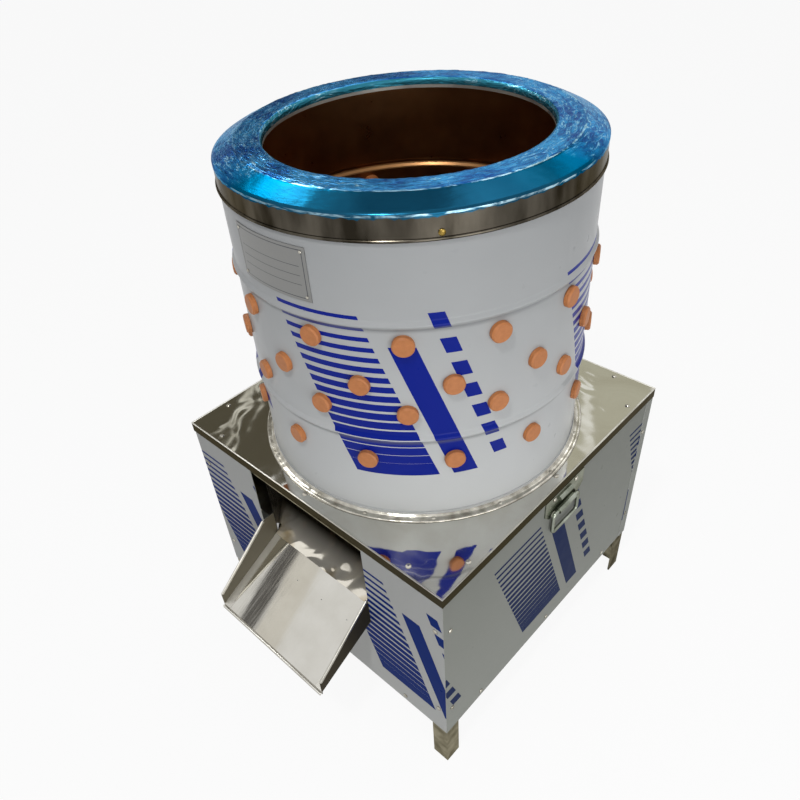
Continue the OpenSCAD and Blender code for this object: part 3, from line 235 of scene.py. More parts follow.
def makeFilm(name, layout, period, middle, start, pale, shade, inkTone, gleam):
    mat = newMaterial(name)
    coords = addNode(mat, "ShaderNodeTexCoord").outputs["Object"]
    place = addNode(mat, "ShaderNodeMapping", {"Vector": coords, **aboutAxis})
    axes = addNode(mat, "ShaderNodeSeparateXYZ", {0: place.outputs[0]})
    if layout == "round":
        angle = addNode(mat, "ShaderNodeMath", {0: axes.outputs["Y"], 1: axes.outputs["X"]},
                        operation="ARCTAN2")
        across = addNode(mat, "ShaderNodeMath", {0: angle.outputs[0], 1: filmLook["radius"]},
                         operation="MULTIPLY").outputs[0]
    else:
        across = axes.outputs["X" if layout == "x" else "Y"]
    moved = addNode(mat, "ShaderNodeMath", {0: across, 1: start}, operation="ADD")
    tile = addNode(mat, "ShaderNodeMath", {0: moved.outputs[0], 1: period}, operation="FLOORED_MODULO")
    tile = addNode(mat, "ShaderNodeMath", {0: tile.outputs[0], 1: period / 2}, operation="SUBTRACT")
    high = addNode(mat, "ShaderNodeMath", {0: axes.outputs["Z"], 1: middle},
                   operation="SUBTRACT").outputs[0]
    slant = addNode(mat, "ShaderNodeMath", {0: high, 1: filmLook["lean"], 2: tile.outputs[0]},
                    operation="MULTIPLY_ADD").outputs[0]
    masks = []
    for midA, halfA, midB, halfB, pitch, head, foot in filmBars:
        wide = addNode(mat, "ShaderNodeMath", {0: slant, 1: midA, 2: halfA}, operation="COMPARE")
        tall = addNode(mat, "ShaderNodeMath", {0: high, 1: midB, 2: halfB}, operation="COMPARE")
        row = addNode(mat, "ShaderNodeMath", {0: high, 1: pitch}, operation="FLOORED_MODULO")
        bar = addNode(mat, "ShaderNodeMapRange", {0: high, 1: midB - halfB, 2: midB + halfB,
                                                  3: foot * pitch, 4: head * pitch})
        inBar = addNode(mat, "ShaderNodeMath", {0: row.outputs[0], 1: bar.outputs[0]},
                        operation="LESS_THAN")
        both = addNode(mat, "ShaderNodeMath", {0: wide.outputs[0], 1: tall.outputs[0]},
                       operation="MULTIPLY")
        masks.append(addNode(mat, "ShaderNodeMath", {0: both.outputs[0], 1: inBar.outputs[0]},
                             operation="MULTIPLY").outputs[0])
    ink = addNode(mat, "ShaderNodeMath", {0: masks[0], 1: masks[1]}, operation="MAXIMUM")
    ink = addNode(mat, "ShaderNodeMath", {0: ink.outputs[0], 1: masks[2]}, operation="MAXIMUM")
    # haze 160 mm across, and painted shade that darkens the film towards the top
    haze = addNode(mat, "ShaderNodeTexNoise", {"Vector": place.outputs[0], "Scale": 0.006, "Detail": 3.0})
    shadeLow, shadeHigh = filmLook["topShade"]
    topShade = addNode(mat, "ShaderNodeMapRange", {0: high, 1: shadeLow, 2: shadeHigh, 3: 0.85, 4: -0.3},
                   clamp=False)
    clean = addNode(mat, "ShaderNodeMath", {0: haze.outputs[0], 1: 0.4, 2: topShade.outputs[0]},
                    operation="MULTIPLY_ADD", use_clamp=True)
    ground = addNode(mat, "ShaderNodeMix", {0: clean.outputs[0], 6: hexColour(shade), 7: hexColour(pale)},
                     data_type="RGBA")
    colour = addNode(mat, "ShaderNodeMix", {0: ink.outputs[0], 6: ground.outputs[2],
                                            7: hexColour(inkTone)}, data_type="RGBA").outputs[2]
    if layout != "y":
        normal = addNode(mat, "ShaderNodeNewGeometry").outputs["Normal"]
        tip = addNode(mat, "ShaderNodeSeparateXYZ", {0: normal})
    if layout == "x":  # the flange turned round the corner is unprinted, and takes the sides' darker tone as painted shade
        sideways = addNode(mat, "ShaderNodeMath", {0: tip.outputs["X"]}, operation="ABSOLUTE")
        onFlange = addNode(mat, "ShaderNodeMath", {0: sideways.outputs[0], 1: 0.7},
                           operation="GREATER_THAN")
        colour = addNode(mat, "ShaderNodeMix", {0: onFlange.outputs[0], 6: colour,
                                                7: hexColour(filmLook["flange"])},
                         data_type="RGBA").outputs[2]
    # scuffs 20 mm across
    scuff = addNode(mat, "ShaderNodeTexNoise", {"Vector": place.outputs[0], "Scale": 0.05, "Detail": 6.0})
    gloss = addNode(mat, "ShaderNodeMapRange", {0: scuff.outputs[0], 3: 0.22, 4: 0.4}).outputs[0]
    metal = 0.0
    if layout == "round":
        for beadAt in filmLook["beads"]:  # painted shade in the crease under each rolled bead
            off = addNode(mat, "ShaderNodeMath", {0: axes.outputs["Z"], 1: beadAt - filmLook["creaseDrop"]},
                          operation="SUBTRACT")
            off = addNode(mat, "ShaderNodeMath", {0: off.outputs[0]}, operation="ABSOLUTE")
            crease = addNode(mat, "ShaderNodeMapRange",
                             {0: off.outputs[0], 1: 0.0, 2: filmLook["creaseHalf"], 3: 0.5, 4: 0.0})
            colour = addNode(mat, "ShaderNodeMix", {0: crease.outputs[0], 6: colour,
                                                    7: hexColour(filmLook["crease"])},
                             data_type="RGBA").outputs[2]
        # bare steel inside, browned, with amber patches
        facing = addNode(mat, "ShaderNodeVectorMath", {0: normal, 1: place.outputs[0]},
                         operation="DOT_PRODUCT")
        lift = addNode(mat, "ShaderNodeMath", {0: tip.outputs["Z"], 1: axes.outputs["Z"]},
                       operation="MULTIPLY")
        outward = addNode(mat, "ShaderNodeMath", {0: facing.outputs["Value"], 1: lift.outputs[0]},
                          operation="SUBTRACT")
        metal = addNode(mat, "ShaderNodeMath", {0: outward.outputs[0], 1: 0.0},
                        operation="LESS_THAN").outputs[0]
        patches = addNode(mat, "ShaderNodeTexNoise",
                          {"Vector": place.outputs[0], "Scale": 0.012, "Detail": 4.0})
        brown = addNode(mat, "ShaderNodeMix", {0: patches.outputs[0], 6: hexColour(filmLook["rust"]),
                                               7: hexColour(filmLook["steel"])}, data_type="RGBA")
        colour = addNode(mat, "ShaderNodeMix", {0: metal, 6: colour, 7: brown.outputs[2]},
                         data_type="RGBA").outputs[2]
    # ripples 90 mm across
    ripple = addNode(mat, "ShaderNodeTexNoise", {"Vector": place.outputs[0], "Scale": 0.011, "Detail": 2.0})
    bump = addNode(mat, "ShaderNodeBump", {"Height": ripple.outputs[0], "Strength": 0.25,
                                           "Distance": 0.002})
    skin = addNode(mat, "ShaderNodeBsdfPrincipled",
                   {"Base Color": colour, "Roughness": gloss, "Metallic": metal,
                    "Normal": bump.outputs[0], "Specular IOR Level": gleam})
    addNode(mat, "ShaderNodeOutputMaterial", {"Surface": skin.outputs[0]})
    return mat


films = [  # name, layout, repeat mm, middle height mm, start mm, clean tone and dusty tone (the dusty one also painted shade), ink, gleam, nodes
    ("printed film, barrel", "round", 392.7, 672, 30, "#C2C4C4", "#A2A4A5", "#001A84", 0.12, ["barrel"]),
    # the panels' film has darker ground and ink than the barrel's, and the sides darker still: painted
    # shade
    ("printed film in painted shade, front and rear", "x", 380, 275, -25, "#B6B7B5", "#AAABA9", "#00246C", 0.01,
     ["front_panel", "rear_panel"]),
    ("printed film in painted shade, sides", "y", 380, 275, 190, "#8E908A", "#80827C", "#001A48", 0.01,
     ["right_panel", "left_panel"]),
]
for *look, nodes in films:
    setMaterial(makeFilm(*look), *nodes)
print("film set")

# cold-rolled stainless, mirror bright: oily drifts and a slow wave bend what it mirrors, and the skirt's
# dark tone is painted shade
deckLook = {"bright": "#E4E4E0", "oily": "#BCB8AC", "skirt": "#3F3C34", "wave": 70, "drift": 110}
mirror = newMaterial("mirror stainless, deck")
coords = addNode(mirror, "ShaderNodeTexCoord").outputs["Object"]
drift = addNode(mirror, "ShaderNodeTexNoise", {"Vector": coords, "Scale": perMetre / deckLook["drift"],
                                               "Detail": 4.0, "Distortion": 1.5})
wave = addNode(mirror, "ShaderNodeTexNoise", {"Vector": coords, "Scale": perMetre / deckLook["wave"],
                                              "Detail": 1.0, "Distortion": 1.2})
tone = addNode(mirror, "ShaderNodeMix", {0: drift.outputs[0], 6: hexColour(deckLook["oily"]),
                                         7: hexColour(deckLook["bright"])}, data_type="RGBA")
normal = addNode(mirror, "ShaderNodeNewGeometry").outputs["Normal"]
tip = addNode(mirror, "ShaderNodeSeparateXYZ", {0: normal})
# faces turned sideways, the skirt, take a dark painted shade in place of the dark room they mirror
side = addNode(mirror, "ShaderNodeMath", {0: tip.outputs["Z"], 1: 0.5}, operation="LESS_THAN")
tone = addNode(mirror, "ShaderNodeMix", {0: side.outputs[0], 6: tone.outputs[2],
                                         7: hexColour(deckLook["skirt"])}, data_type="RGBA")
rough = addNode(mirror, "ShaderNodeMapRange", {0: drift.outputs[0], 1: 0.3, 2: 0.7, 3: 0.09, 4: 0.03})
bump = addNode(mirror, "ShaderNodeBump", {"Height": wave.outputs[0], "Strength": 0.4, "Distance": 0.002})
metal = addNode(mirror, "ShaderNodeBsdfPrincipled", {"Base Color": tone.outputs[2], "Metallic": 1.0,
                                                     "Roughness": rough.outputs[0],
                                                     "Normal": bump.outputs[0],
                                                     "Specular Tint": (0.5, 0.48, 0.44, 1)})
addNode(mirror, "ShaderNodeOutputMaterial", {"Surface": metal.outputs[0]})
setMaterial(mirror, "deck")
print("deck set")

# bright-annealed sheet of the chute: it mirrors nearly clean, with faint rubs; its walls carry a darker
# painted shade, darker still on their outer faces
chuteLook = {"bright": "#D6D4CE", "rubbed": "#BEBBB2", "wall": "#6C685D", "outsideShade": "#46423A",
             "bend": (106 * mm, 114 * mm)}  # the floor is brushed between these, by the walls
polished = newMaterial("bright stainless, chute")
coords = addNode(polished, "ShaderNodeTexCoord").outputs["Object"]
# rubs 45 mm across, waves 150 mm across
rubs = addNode(polished, "ShaderNodeTexNoise", {"Vector": coords, "Scale": 22.0, "Detail": 3.0})
wave = addNode(polished, "ShaderNodeTexNoise", {"Vector": coords, "Scale": 6.5, "Detail": 1.0})
hair = addNode(polished, "ShaderNodeMapping", {"Vector": coords, "Scale": (300, 18, 18),
                                               "Rotation": (0, 0, 0.5)})
hairs = addNode(polished, "ShaderNodeTexNoise", {"Vector": hair.outputs[0], "Scale": 1.0, "Detail": 2.0})
normal = addNode(polished, "ShaderNodeNewGeometry").outputs["Normal"]
tip = addNode(polished, "ShaderNodeSeparateXYZ", {0: normal})
# the walls, faces turned sideways, take a painted shade, and their outer faces a darker one
sideways = addNode(polished, "ShaderNodeMath", {0: tip.outputs["X"]}, operation="ABSOLUTE")
onWall = addNode(polished, "ShaderNodeMath", {0: sideways.outputs[0], 1: 0.6}, operation="GREATER_THAN")
tone = addNode(polished, "ShaderNodeMix", {0: rubs.outputs[0], 6: hexColour(chuteLook["rubbed"]),
                                           7: hexColour(chuteLook["bright"])}, data_type="RGBA")
spot = addNode(polished, "ShaderNodeSeparateXYZ", {0: coords})
outward = addNode(polished, "ShaderNodeMath", {0: tip.outputs["X"], 1: spot.outputs["X"]},
                  operation="MULTIPLY")
outsideShade = addNode(polished, "ShaderNodeMath", {0: outward.outputs[0], 1: 0.06}, operation="GREATER_THAN")
wallTone = addNode(polished, "ShaderNodeMix", {0: outsideShade.outputs[0], 6: hexColour(chuteLook["wall"]),
                                               7: hexColour(chuteLook["outsideShade"])}, data_type="RGBA")
tone = addNode(polished, "ShaderNodeMix", {0: onWall.outputs[0], 6: tone.outputs[2],
                                           7: wallTone.outputs[2]}, data_type="RGBA")
rough = addNode(polished, "ShaderNodeMapRange", {0: hairs.outputs[0], 1: 0.3, 2: 0.75, 3: 0.03, 4: 0.09})
reach = addNode(polished, "ShaderNodeMath", {0: spot.outputs["X"]}, operation="ABSOLUTE")
bend = addNode(polished, "ShaderNodeMapRange",
               {0: reach.outputs[0], 1: chuteLook["bend"][0], 2: chuteLook["bend"][1], 3: 0.0, 4: 0.5})
rough = addNode(polished, "ShaderNodeMath", {0: rough.outputs[0], 1: bend.outputs[0]}, operation="MAXIMUM")
bump = addNode(polished, "ShaderNodeBump", {"Height": wave.outputs[0], "Strength": 0.15, "Distance": 0.003})
metal = addNode(polished, "ShaderNodeBsdfPrincipled", {"Base Color": tone.outputs[2], "Metallic": 1.0,
                                                       "Roughness": rough.outputs[0],
                                                       "Normal": bump.outputs[0],
                                                       "Specular Tint": (0.5, 0.48, 0.44, 1)})
addNode(polished, "ShaderNodeOutputMaterial", {"Surface": metal.outputs[0]})
setMaterial(polished, "discharge_chute")

# the pan is bent by hand: wavy, with gold patches that are partly stain and partly painted reflection;
# painted shade darkens it further in and on its upright guide faces
panLook = {"bright": "#F4EEE0", "goldStainAndReflection": "#B79F6C", "guide": "#5A554B", "innerShade": "#3A3428",
           "clean": 15 * mm, "innerShadeFull": 55 * mm}  # how far in the painted shade begins, and covers
wavy = newMaterial("hand-bent stainless, pan")
coords = addNode(wavy, "ShaderNodeTexCoord").outputs["Object"]
# stains and painted golden reflections, 70 mm across
stain = addNode(wavy, "ShaderNodeTexNoise", {"Vector": coords, "Scale": 14.0, "Detail": 4.0})
wave = addNode(wavy, "ShaderNodeTexNoise", {"Vector": coords, "Scale": 11.0, "Detail": 1.0,
                                            "Distortion": 1.6})
golden = addNode(wavy, "ShaderNodeMapRange", {0: stain.outputs[0], 1: 0.32, 2: 0.48})
tone = addNode(wavy, "ShaderNodeMix", {0: golden.outputs[0], 6: hexColour(panLook["goldStainAndReflection"]),
                                       7: hexColour(panLook["bright"])}, data_type="RGBA")
spot = addNode(wavy, "ShaderNodeSeparateXYZ", {0: coords})
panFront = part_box("feather_pan")[0][1]
# painted shade, darker further in under the deck
inward = addNode(wavy, "ShaderNodeMapRange", {0: spot.outputs["Y"], 1: panFront + panLook["clean"],
                                              2: panFront + panLook["innerShadeFull"]})
tone = addNode(wavy, "ShaderNodeMix", {0: inward.outputs[0], 6: tone.outputs[2],
                                       7: hexColour(panLook["innerShade"])}, data_type="RGBA")
tip = addNode(wavy, "ShaderNodeSeparateXYZ", {0: addNode(wavy, "ShaderNodeNewGeometry").outputs["Normal"]})
# upright guide faces take a darker tone, painted shade
upright = addNode(wavy, "ShaderNodeMath", {0: tip.outputs["Z"], 1: 0.5}, operation="LESS_THAN")
tone = addNode(wavy, "ShaderNodeMix", {0: upright.outputs[0], 6: tone.outputs[2],
                                       7: hexColour(panLook["guide"])}, data_type="RGBA")
bump = addNode(wavy, "ShaderNodeBump", {"Height": wave.outputs[0], "Strength": 0.8, "Distance": 0.012})
metal = addNode(wavy, "ShaderNodeBsdfPrincipled", {"Base Color": tone.outputs[2], "Metallic": 0.62,
                                                   "Roughness": 0.1, "Normal": bump.outputs[0]})
addNode(wavy, "ShaderNodeOutputMaterial", {"Surface": metal.outputs[0]})
setMaterial(wavy, "feather_pan")
print("chute and pan set")

# metals: name, colour, darker colour, roughness low and high, smear size mm and stretch in z,
# wave size mm and strength, nodes
metals = [
    # polished sheet with faint rub marks
    ("polished stainless, turntable", "#CFCCC4", "#B2AFA6", 0.1, 0.24, 50, 1, 120, 0.2, ["turntable"]),
    ("crimped stainless, foot ring", "#C9C6BC", "#8C887D", 0.14, 0.28, 18, 1, 16, 0.4,
     ["panel_rivets", "deck_screws", "chute_rivets", "foot_ring_rivets", "name_plate_rivets",
      "handle_rivets"]),
    # folded edges, bright and even
    ("bright stainless, hems", "#DAD8D1", "#B4B1A8", 0.26, 0.34, 60, 1, 150, 0.03, []),
    # handled sheet: brown smears drawn up and down, over a dark tone that is painted shade for the dark
    # room it mirrors
    ("smeared stainless in painted shade, band", "#58534A", "#2A261F", 0.14, 0.32, 34, 0.3, 60, 0.2, ["rim_band"]),
    ("plain steel under film", "#E4E2DB", "#C4C1B8", 0.3, 0.5, 30, 1, 60, 0.1, ["rim_cover"]),
    # hot-rolled section, olive and dull
    ("rolled angle steel", "#A09A86", "#6F6A58", 0.35, 0.6, 24, 1, 50, 0.1,
     ["leg_front_left", "leg_front_right", "upper_rails", "lower_rails", "carrier_rails", "bearing_beam",
      "motor_plate"]),
    # rear legs: the same angle steel as the front, darker as painted shade
    ("angle steel in painted shade, rear legs", "#76715F", "#4C483A", 0.35, 0.6, 24, 1, 50, 0.1,
     ["leg_rear_left", "leg_rear_right"]),
    # passivated zinc: grey-green, cloudy
    ("zinc plated steel", "#A9AEA3", "#7A7F73", 0.14, 0.28, 40, 1, 40, 0.1,
     ["turntable_bolt", "bearing_bolts", "carrier_bolts", "driven_pulley_bolt", "motor_bolts",
      "handle_plate_right", "handle_plate_left", "handle_bail_right", "handle_bail_left"]),
    ("ground bearing steel", "#C4C4C2", "#9A9A98", 0.12, 0.25, 6, 1, 30, 0.05,
     ["main_shaft", "motor_shaft", "upper_bearing", "upper_bearing_race", "lower_bearing",
      "lower_bearing_race"]),
    ("plain brass", "#A48C4A", "#6C5728", 0.2, 0.4, 4, 1, 20, 0.05, ["rim_screws"]),
]
metalNamed = {}
for name, colour, dark, low, high, smear, stretch, wave, strength, nodes in metals:
    mat = newMaterial(name)
    coords = addNode(mat, "ShaderNodeTexCoord").outputs["Object"]
    drawn = addNode(mat, "ShaderNodeMapping", {"Vector": coords, "Scale": (1, 1, stretch)})
    smears = addNode(mat, "ShaderNodeTexNoise", {"Vector": drawn.outputs[0], "Scale": perMetre / smear,
                                                 "Detail": 5.0})
    waves = addNode(mat, "ShaderNodeTexNoise", {"Vector": coords, "Scale": perMetre / wave, "Detail": 1.5})
    mixBy = addNode(mat, "ShaderNodeMapRange", {0: smears.outputs[0], 1: 0.35, 2: 0.65})
    tone = addNode(mat, "ShaderNodeMix", {0: mixBy.outputs[0], 6: hexColour(dark), 7: hexColour(colour)},
                   data_type="RGBA")
    rough = addNode(mat, "ShaderNodeMapRange", {0: smears.outputs[0], 1: 0.3, 2: 0.7, 3: high, 4: low})
    bump = addNode(mat, "ShaderNodeBump", {"Height": waves.outputs[0], "Strength": strength,
                                           "Distance": 0.002})
    metal = addNode(mat, "ShaderNodeBsdfPrincipled", {"Base Color": tone.outputs[2], "Metallic": 1.0,
                                                      "Roughness": rough.outputs[0],
                                                      "Normal": bump.outputs[0],
                                                      "Specular Tint": (0.5, 0.48, 0.44, 1)})
    addNode(mat, "ShaderNodeOutputMaterial", {"Surface": metal.outputs[0]})
    setMaterial(mat, *nodes)
    metalNamed[name] = mat
print("metals set")

# matt solids: name, colour, darker colour, roughness, grain size mm, bump, nodes
solids = [
    # moulded rubber, floury with use
    ("moulded orange rubber", "#C27C48", "#A66636", 0.55, 6, 0.15,
     ["wall_fingers_row_1", "wall_fingers_row_2", "wall_fingers_row_3", "wall_fingers_row_4",
      "turntable_inner_fingers", "turntable_outer_fingers"]),
    # the barrel's film runs on over the foot ring's collar
    ("plain film, foot collar", "#C2C4C4", "#AEB0B0", 0.35, 60, 0.05, ["foot_ring"]),
    ("machined cast iron", "#53575B", "#3B3E41", 0.5, 3, 0.3,
     ["bearing_housing", "driven_pulley", "motor_pulley"]),
    ("motor enamel", "#5E6C74", "#4C5860", 0.4, 5, 0.1,
     ["motor_frame", "motor_end_bell", "motor_fan_cover", "motor_terminal_box"]),
    ("belt rubber", "#1C1C1C", "#101010", 0.7, 4, 0.3, ["drive_belt"]),
    ("black nylon", "#1E1F20", "#151617", 0.45, 4, 0.1, ["motor_fan", "cable_gland"]),
]
for name, colour, dark, rough, grain, strength, nodes in solids:
    mat = newMaterial(name)
    coords = addNode(mat, "ShaderNodeTexCoord").outputs["Object"]
    grains = addNode(mat, "ShaderNodeTexNoise", {"Vector": coords, "Scale": perMetre / grain,
                                                 "Detail": 4.0})
    tone = addNode(mat, "ShaderNodeMix", {0: grains.outputs[0], 6: hexColour(dark), 7: hexColour(colour)},
                   data_type="RGBA")
    bump = addNode(mat, "ShaderNodeBump", {"Height": grains.outputs[0], "Strength": strength,
                                           "Distance": 0.0004})
    solid = addNode(mat, "ShaderNodeBsdfPrincipled", {"Base Color": tone.outputs[2], "Roughness": rough,
                                                      "Normal": bump.outputs[0]})
    addNode(mat, "ShaderNodeOutputMaterial", {"Surface": solid.outputs[0]})
    setMaterial(mat, *nodes)
print("rubber, iron and plastic set")

# blank plate of satin aluminium with a printed border and rules
plateLook = {"metal": "#868684", "ink": "#2B2F36", "line": 0.5, "inset": 4, "rules": (10, -2, -14),
             "ruleInset": 6, "ruleLine": 0.35}  # mm
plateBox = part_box("name_plate")
plateLow, plateHigh = plateBox[0][2] / mm, plateBox[1][2] / mm
blank = newMaterial("satin aluminium, ruled")
coords = addNode(blank, "ShaderNodeTexCoord").outputs["Object"]
place = addNode(blank, "ShaderNodeMapping", {"Vector": coords, **aboutAxis})
axes = addNode(blank, "ShaderNodeSeparateXYZ", {0: place.outputs[0]})
away = addNode(blank, "ShaderNodeMath", {0: axes.outputs["X"]}, operation="ABSOLUTE").outputs[0]
halfWide = (plateBox[1][0] - plateBox[0][0]) / 2 / mm - plateLook["inset"]
halfTall = (plateHigh - plateLow) / 2 - plateLook["inset"]
middle = (plateHigh + plateLow) / 2
offMiddle = addNode(blank, "ShaderNodeMath", {0: axes.outputs["Z"], 1: middle},
                    operation="SUBTRACT").outputs[0]
tall = addNode(blank, "ShaderNodeMath", {0: offMiddle}, operation="ABSOLUTE").outputs[0]
inWide = addNode(blank, "ShaderNodeMath", {0: away, 1: halfWide}, operation="LESS_THAN").outputs[0]
inTall = addNode(blank, "ShaderNodeMath", {0: tall, 1: halfTall}, operation="LESS_THAN").outputs[0]
upright = addNode(blank, "ShaderNodeMath", {0: away, 1: halfWide, 2: plateLook["line"]},
                  operation="COMPARE")
level = addNode(blank, "ShaderNodeMath", {0: tall, 1: halfTall, 2: plateLook["line"]}, operation="COMPARE")
upright = addNode(blank, "ShaderNodeMath", {0: upright.outputs[0], 1: inTall},
                  operation="MULTIPLY").outputs[0]
level = addNode(blank, "ShaderNodeMath", {0: level.outputs[0], 1: inWide}, operation="MULTIPLY").outputs[0]
ink = addNode(blank, "ShaderNodeMath", {0: upright, 1: level}, operation="MAXIMUM").outputs[0]
shortWide = addNode(blank, "ShaderNodeMath", {0: away, 1: halfWide - plateLook["ruleInset"]},
                    operation="LESS_THAN").outputs[0]
for ruleAt in plateLook["rules"]:
    rule = addNode(blank, "ShaderNodeMath", {0: offMiddle, 1: ruleAt, 2: plateLook["ruleLine"]},
                   operation="COMPARE")
    rule = addNode(blank, "ShaderNodeMath", {0: rule.outputs[0], 1: shortWide}, operation="MULTIPLY")
    ink = addNode(blank, "ShaderNodeMath", {0: ink, 1: rule.outputs[0]}, operation="MAXIMUM").outputs[0]
grain = addNode(blank, "ShaderNodeTexNoise", {"Vector": place.outputs[0], "Scale": 0.4, "Detail": 4.0})
tone = addNode(blank, "ShaderNodeMix", {0: ink, 6: hexColour(plateLook["metal"]),
                                        7: hexColour(plateLook["ink"])}, data_type="RGBA")
metalPart = addNode(blank, "ShaderNodeMapRange", {0: ink, 3: 0.7, 4: 0.0})
rough = addNode(blank, "ShaderNodeMapRange", {0: grain.outputs[0], 3: 0.35, 4: 0.5})
skin = addNode(blank, "ShaderNodeBsdfPrincipled",
               {"Base Color": tone.outputs[2], "Metallic": metalPart.outputs[0],
                "Roughness": rough.outputs[0]})
addNode(blank, "ShaderNodeOutputMaterial", {"Surface": skin.outputs[0]})
setMaterial(blank, "name_plate")
print("name plate set")

# blue film drawn over the rim: slack on the flat top and at the sides, tight on the front of the slope,
# torn along its lower edge
# the glint colour is painted: glints and highlights painted on the film
rimFilm = {"sides": 360, "lift": 0.35, "mouth": 187.0, "fold": 222.0, "fall": 13.5, "steps": 7, "edge": 249,
           "sideFrom": 80, "lipDrops": (9.5, 7, 4), "lipTurn": (1.2, 1.1), "lipEnd": 4,
           "flatRings": range(194, 222, 3), "hemDrops": (1.2, 2.6, 4.4), "hemFrom": 4,
           "crease": 1.6, "creaseSize": 14, "torn": 7.0, "tornSize": 7,  # mm
           "slope": "#0F3850", "slopeLight": "#1A5773", "flat": "#0E4A92", "flatLight": "#4AA0DA",
           "paintedGlint": "#C4E8F6", "lip": "#2C7488",
           "tight": (0.68, -0.73, 0), "side": (0.73, 0.68, 0)}  # where the slope is tight, and is loose
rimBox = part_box("rim_cover")
rimOut = (rimBox[1][0] - rimBox[0][0]) / 2 / mm
top = rimTop / mm
lift = rimFilm["lift"]
mouth, foldAt = rimFilm["mouth"], rimFilm["fold"]
edgeZ = top - rimFilm["fall"]  # the slope's lower edge
turnOut, turnDown = rimFilm["lipTurn"]
filmRings = [(mouth - lift, top - drop) for drop in rimFilm["lipDrops"]]  # up the mouth's lip
filmRings += [(mouth + turnOut - lift, top - turnDown + lift), (mouth + rimFilm["lipEnd"], top + lift)]
filmRings += [(r, top + lift) for r in rimFilm["flatRings"]]
for step in range(rimFilm["steps"] + 1):  # down the slope
    share = step / rimFilm["steps"]
    filmRings.append((foldAt + share * (rimOut - foldAt) + lift * share,
                      top + lift - share * rimFilm["fall"]))
filmRings += [(rimOut + lift, edgeZ - drop) for drop in rimFilm["hemDrops"]]
film = layRings("rim_film", rimFilm["sides"], filmRings)
slack = film.vertex_groups.new(name="slack")
hem = film.vertex_groups.new(name="hem")
for v in film.data.vertices:
    r = (Vector((v.co.x, v.co.y - axisY))).length / mm
    ahead = Vector((v.co.x, v.co.y - axisY, 0)).dot(Vector(rimFilm["tight"])) / mm
    onFlat = mouth + 3 < r < foldAt - 1
    onSlope = r < rimFilm["edge"]
    atSide = ahead < rimFilm["sideFrom"] and r > foldAt
    weight = 1.0 if onFlat else 0.6 if atSide and onSlope else 0.25 if onSlope else 0.08
    slack.add([v.index], weight, "REPLACE")
    hem.add([v.index], 1.0 if v.co.z / mm < edgeZ - rimFilm["hemFrom"] else 0.0, "REPLACE")
creases = bpy.data.textures.new("creases", "CLOUDS")
creases.noise_scale = rimFilm["creaseSize"] * mm
creases.noise_depth = 3
creases.noise_type = "HARD_NOISE"
applyModifier(film, "DISPLACE", texture=creases, texture_coords="LOCAL", strength=rimFilm["crease"] * mm,
              mid_level=0.0, vertex_group="slack")
torn = bpy.data.textures.new("torn", "CLOUDS")  # ragged lower edge
torn.noise_scale = rimFilm["tornSize"] * mm
torn.noise_depth = 2
applyModifier(film, "DISPLACE", texture=torn, texture_coords="LOCAL", strength=rimFilm["torn"] * mm,
              mid_level=0.42, direction="Z", vertex_group="hem")
bpy.ops.object.shade_smooth()
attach(film, "cabinet")

# thin coloured film on bright steel, so it mirrors in blue; crinkled on the flat with painted glints, and
# scuffed along the fold and the hem, with a painted highlight along them
blue = newMaterial("blue protective film")
coords = addNode(blue, "ShaderNodeTexCoord").outputs["Object"]
place = addNode(blue, "ShaderNodeMapping", {"Vector": coords, **aboutAxis})
axes = addNode(blue, "ShaderNodeSeparateXYZ", {0: place.outputs[0]})
ring = addNode(blue, "ShaderNodeCombineXYZ", {"X": axes.outputs["X"], "Y": axes.outputs["Y"]})
reach = addNode(blue, "ShaderNodeVectorMath", {0: ring.outputs[0]}, operation="LENGTH").outputs["Value"]
angle = addNode(blue, "ShaderNodeMath", {0: axes.outputs["Y"], 1: axes.outputs["X"]}, operation="ARCTAN2")
# streaks run long round the ring
drawn = addNode(blue, "ShaderNodeMath", {0: angle.outputs[0], 1: 60.0}, operation="MULTIPLY")
streak = addNode(blue, "ShaderNodeCombineXYZ", {"X": drawn.outputs[0], "Y": reach, "Z": axes.outputs["Z"]})
flat = addNode(blue, "ShaderNodeMapRange", {0: reach, 1: foldAt - 1, 2: foldAt + 1, 3: 1.0,
                                            4: 0.0}).outputs[0]
ahead = addNode(blue, "ShaderNodeVectorMath", {0: ring.outputs[0], 1: rimFilm["tight"]},
                operation="DOT_PRODUCT")
loose = addNode(blue, "ShaderNodeMapRange", {0: ahead.outputs["Value"], 1: 70, 2: 150, 3: 1.0,
                                             4: 0.0}).outputs[0]
# the slope is loose at the sides too
flat = addNode(blue, "ShaderNodeMath", {0: flat, 1: loose}, operation="MAXIMUM").outputs[0]
inLip = addNode(blue, "ShaderNodeMath", {0: reach, 1: mouth + 2}, operation="LESS_THAN").outputs[0]
crinkle = addNode(blue, "ShaderNodeTexNoise", {"Vector": streak.outputs[0], "Scale": 0.16, "Detail": 6.0,
                                               "Distortion": 1.5}).outputs[0]  # 6 mm across, 25 mm along
cloud = addNode(blue, "ShaderNodeTexNoise", {"Vector": place.outputs[0], "Scale": 0.018,
                                             "Detail": 3.0}).outputs[0]
folds = addNode(blue, "ShaderNodeTexNoise", {"Vector": streak.outputs[0], "Scale": 0.075, "Detail": 4.0,
                                             "Distortion": 2.5}).outputs[0]  # 13 mm folds
streaky = addNode(blue, "ShaderNodeMath", {0: crinkle, 1: cloud}, operation="ADD").outputs[0]
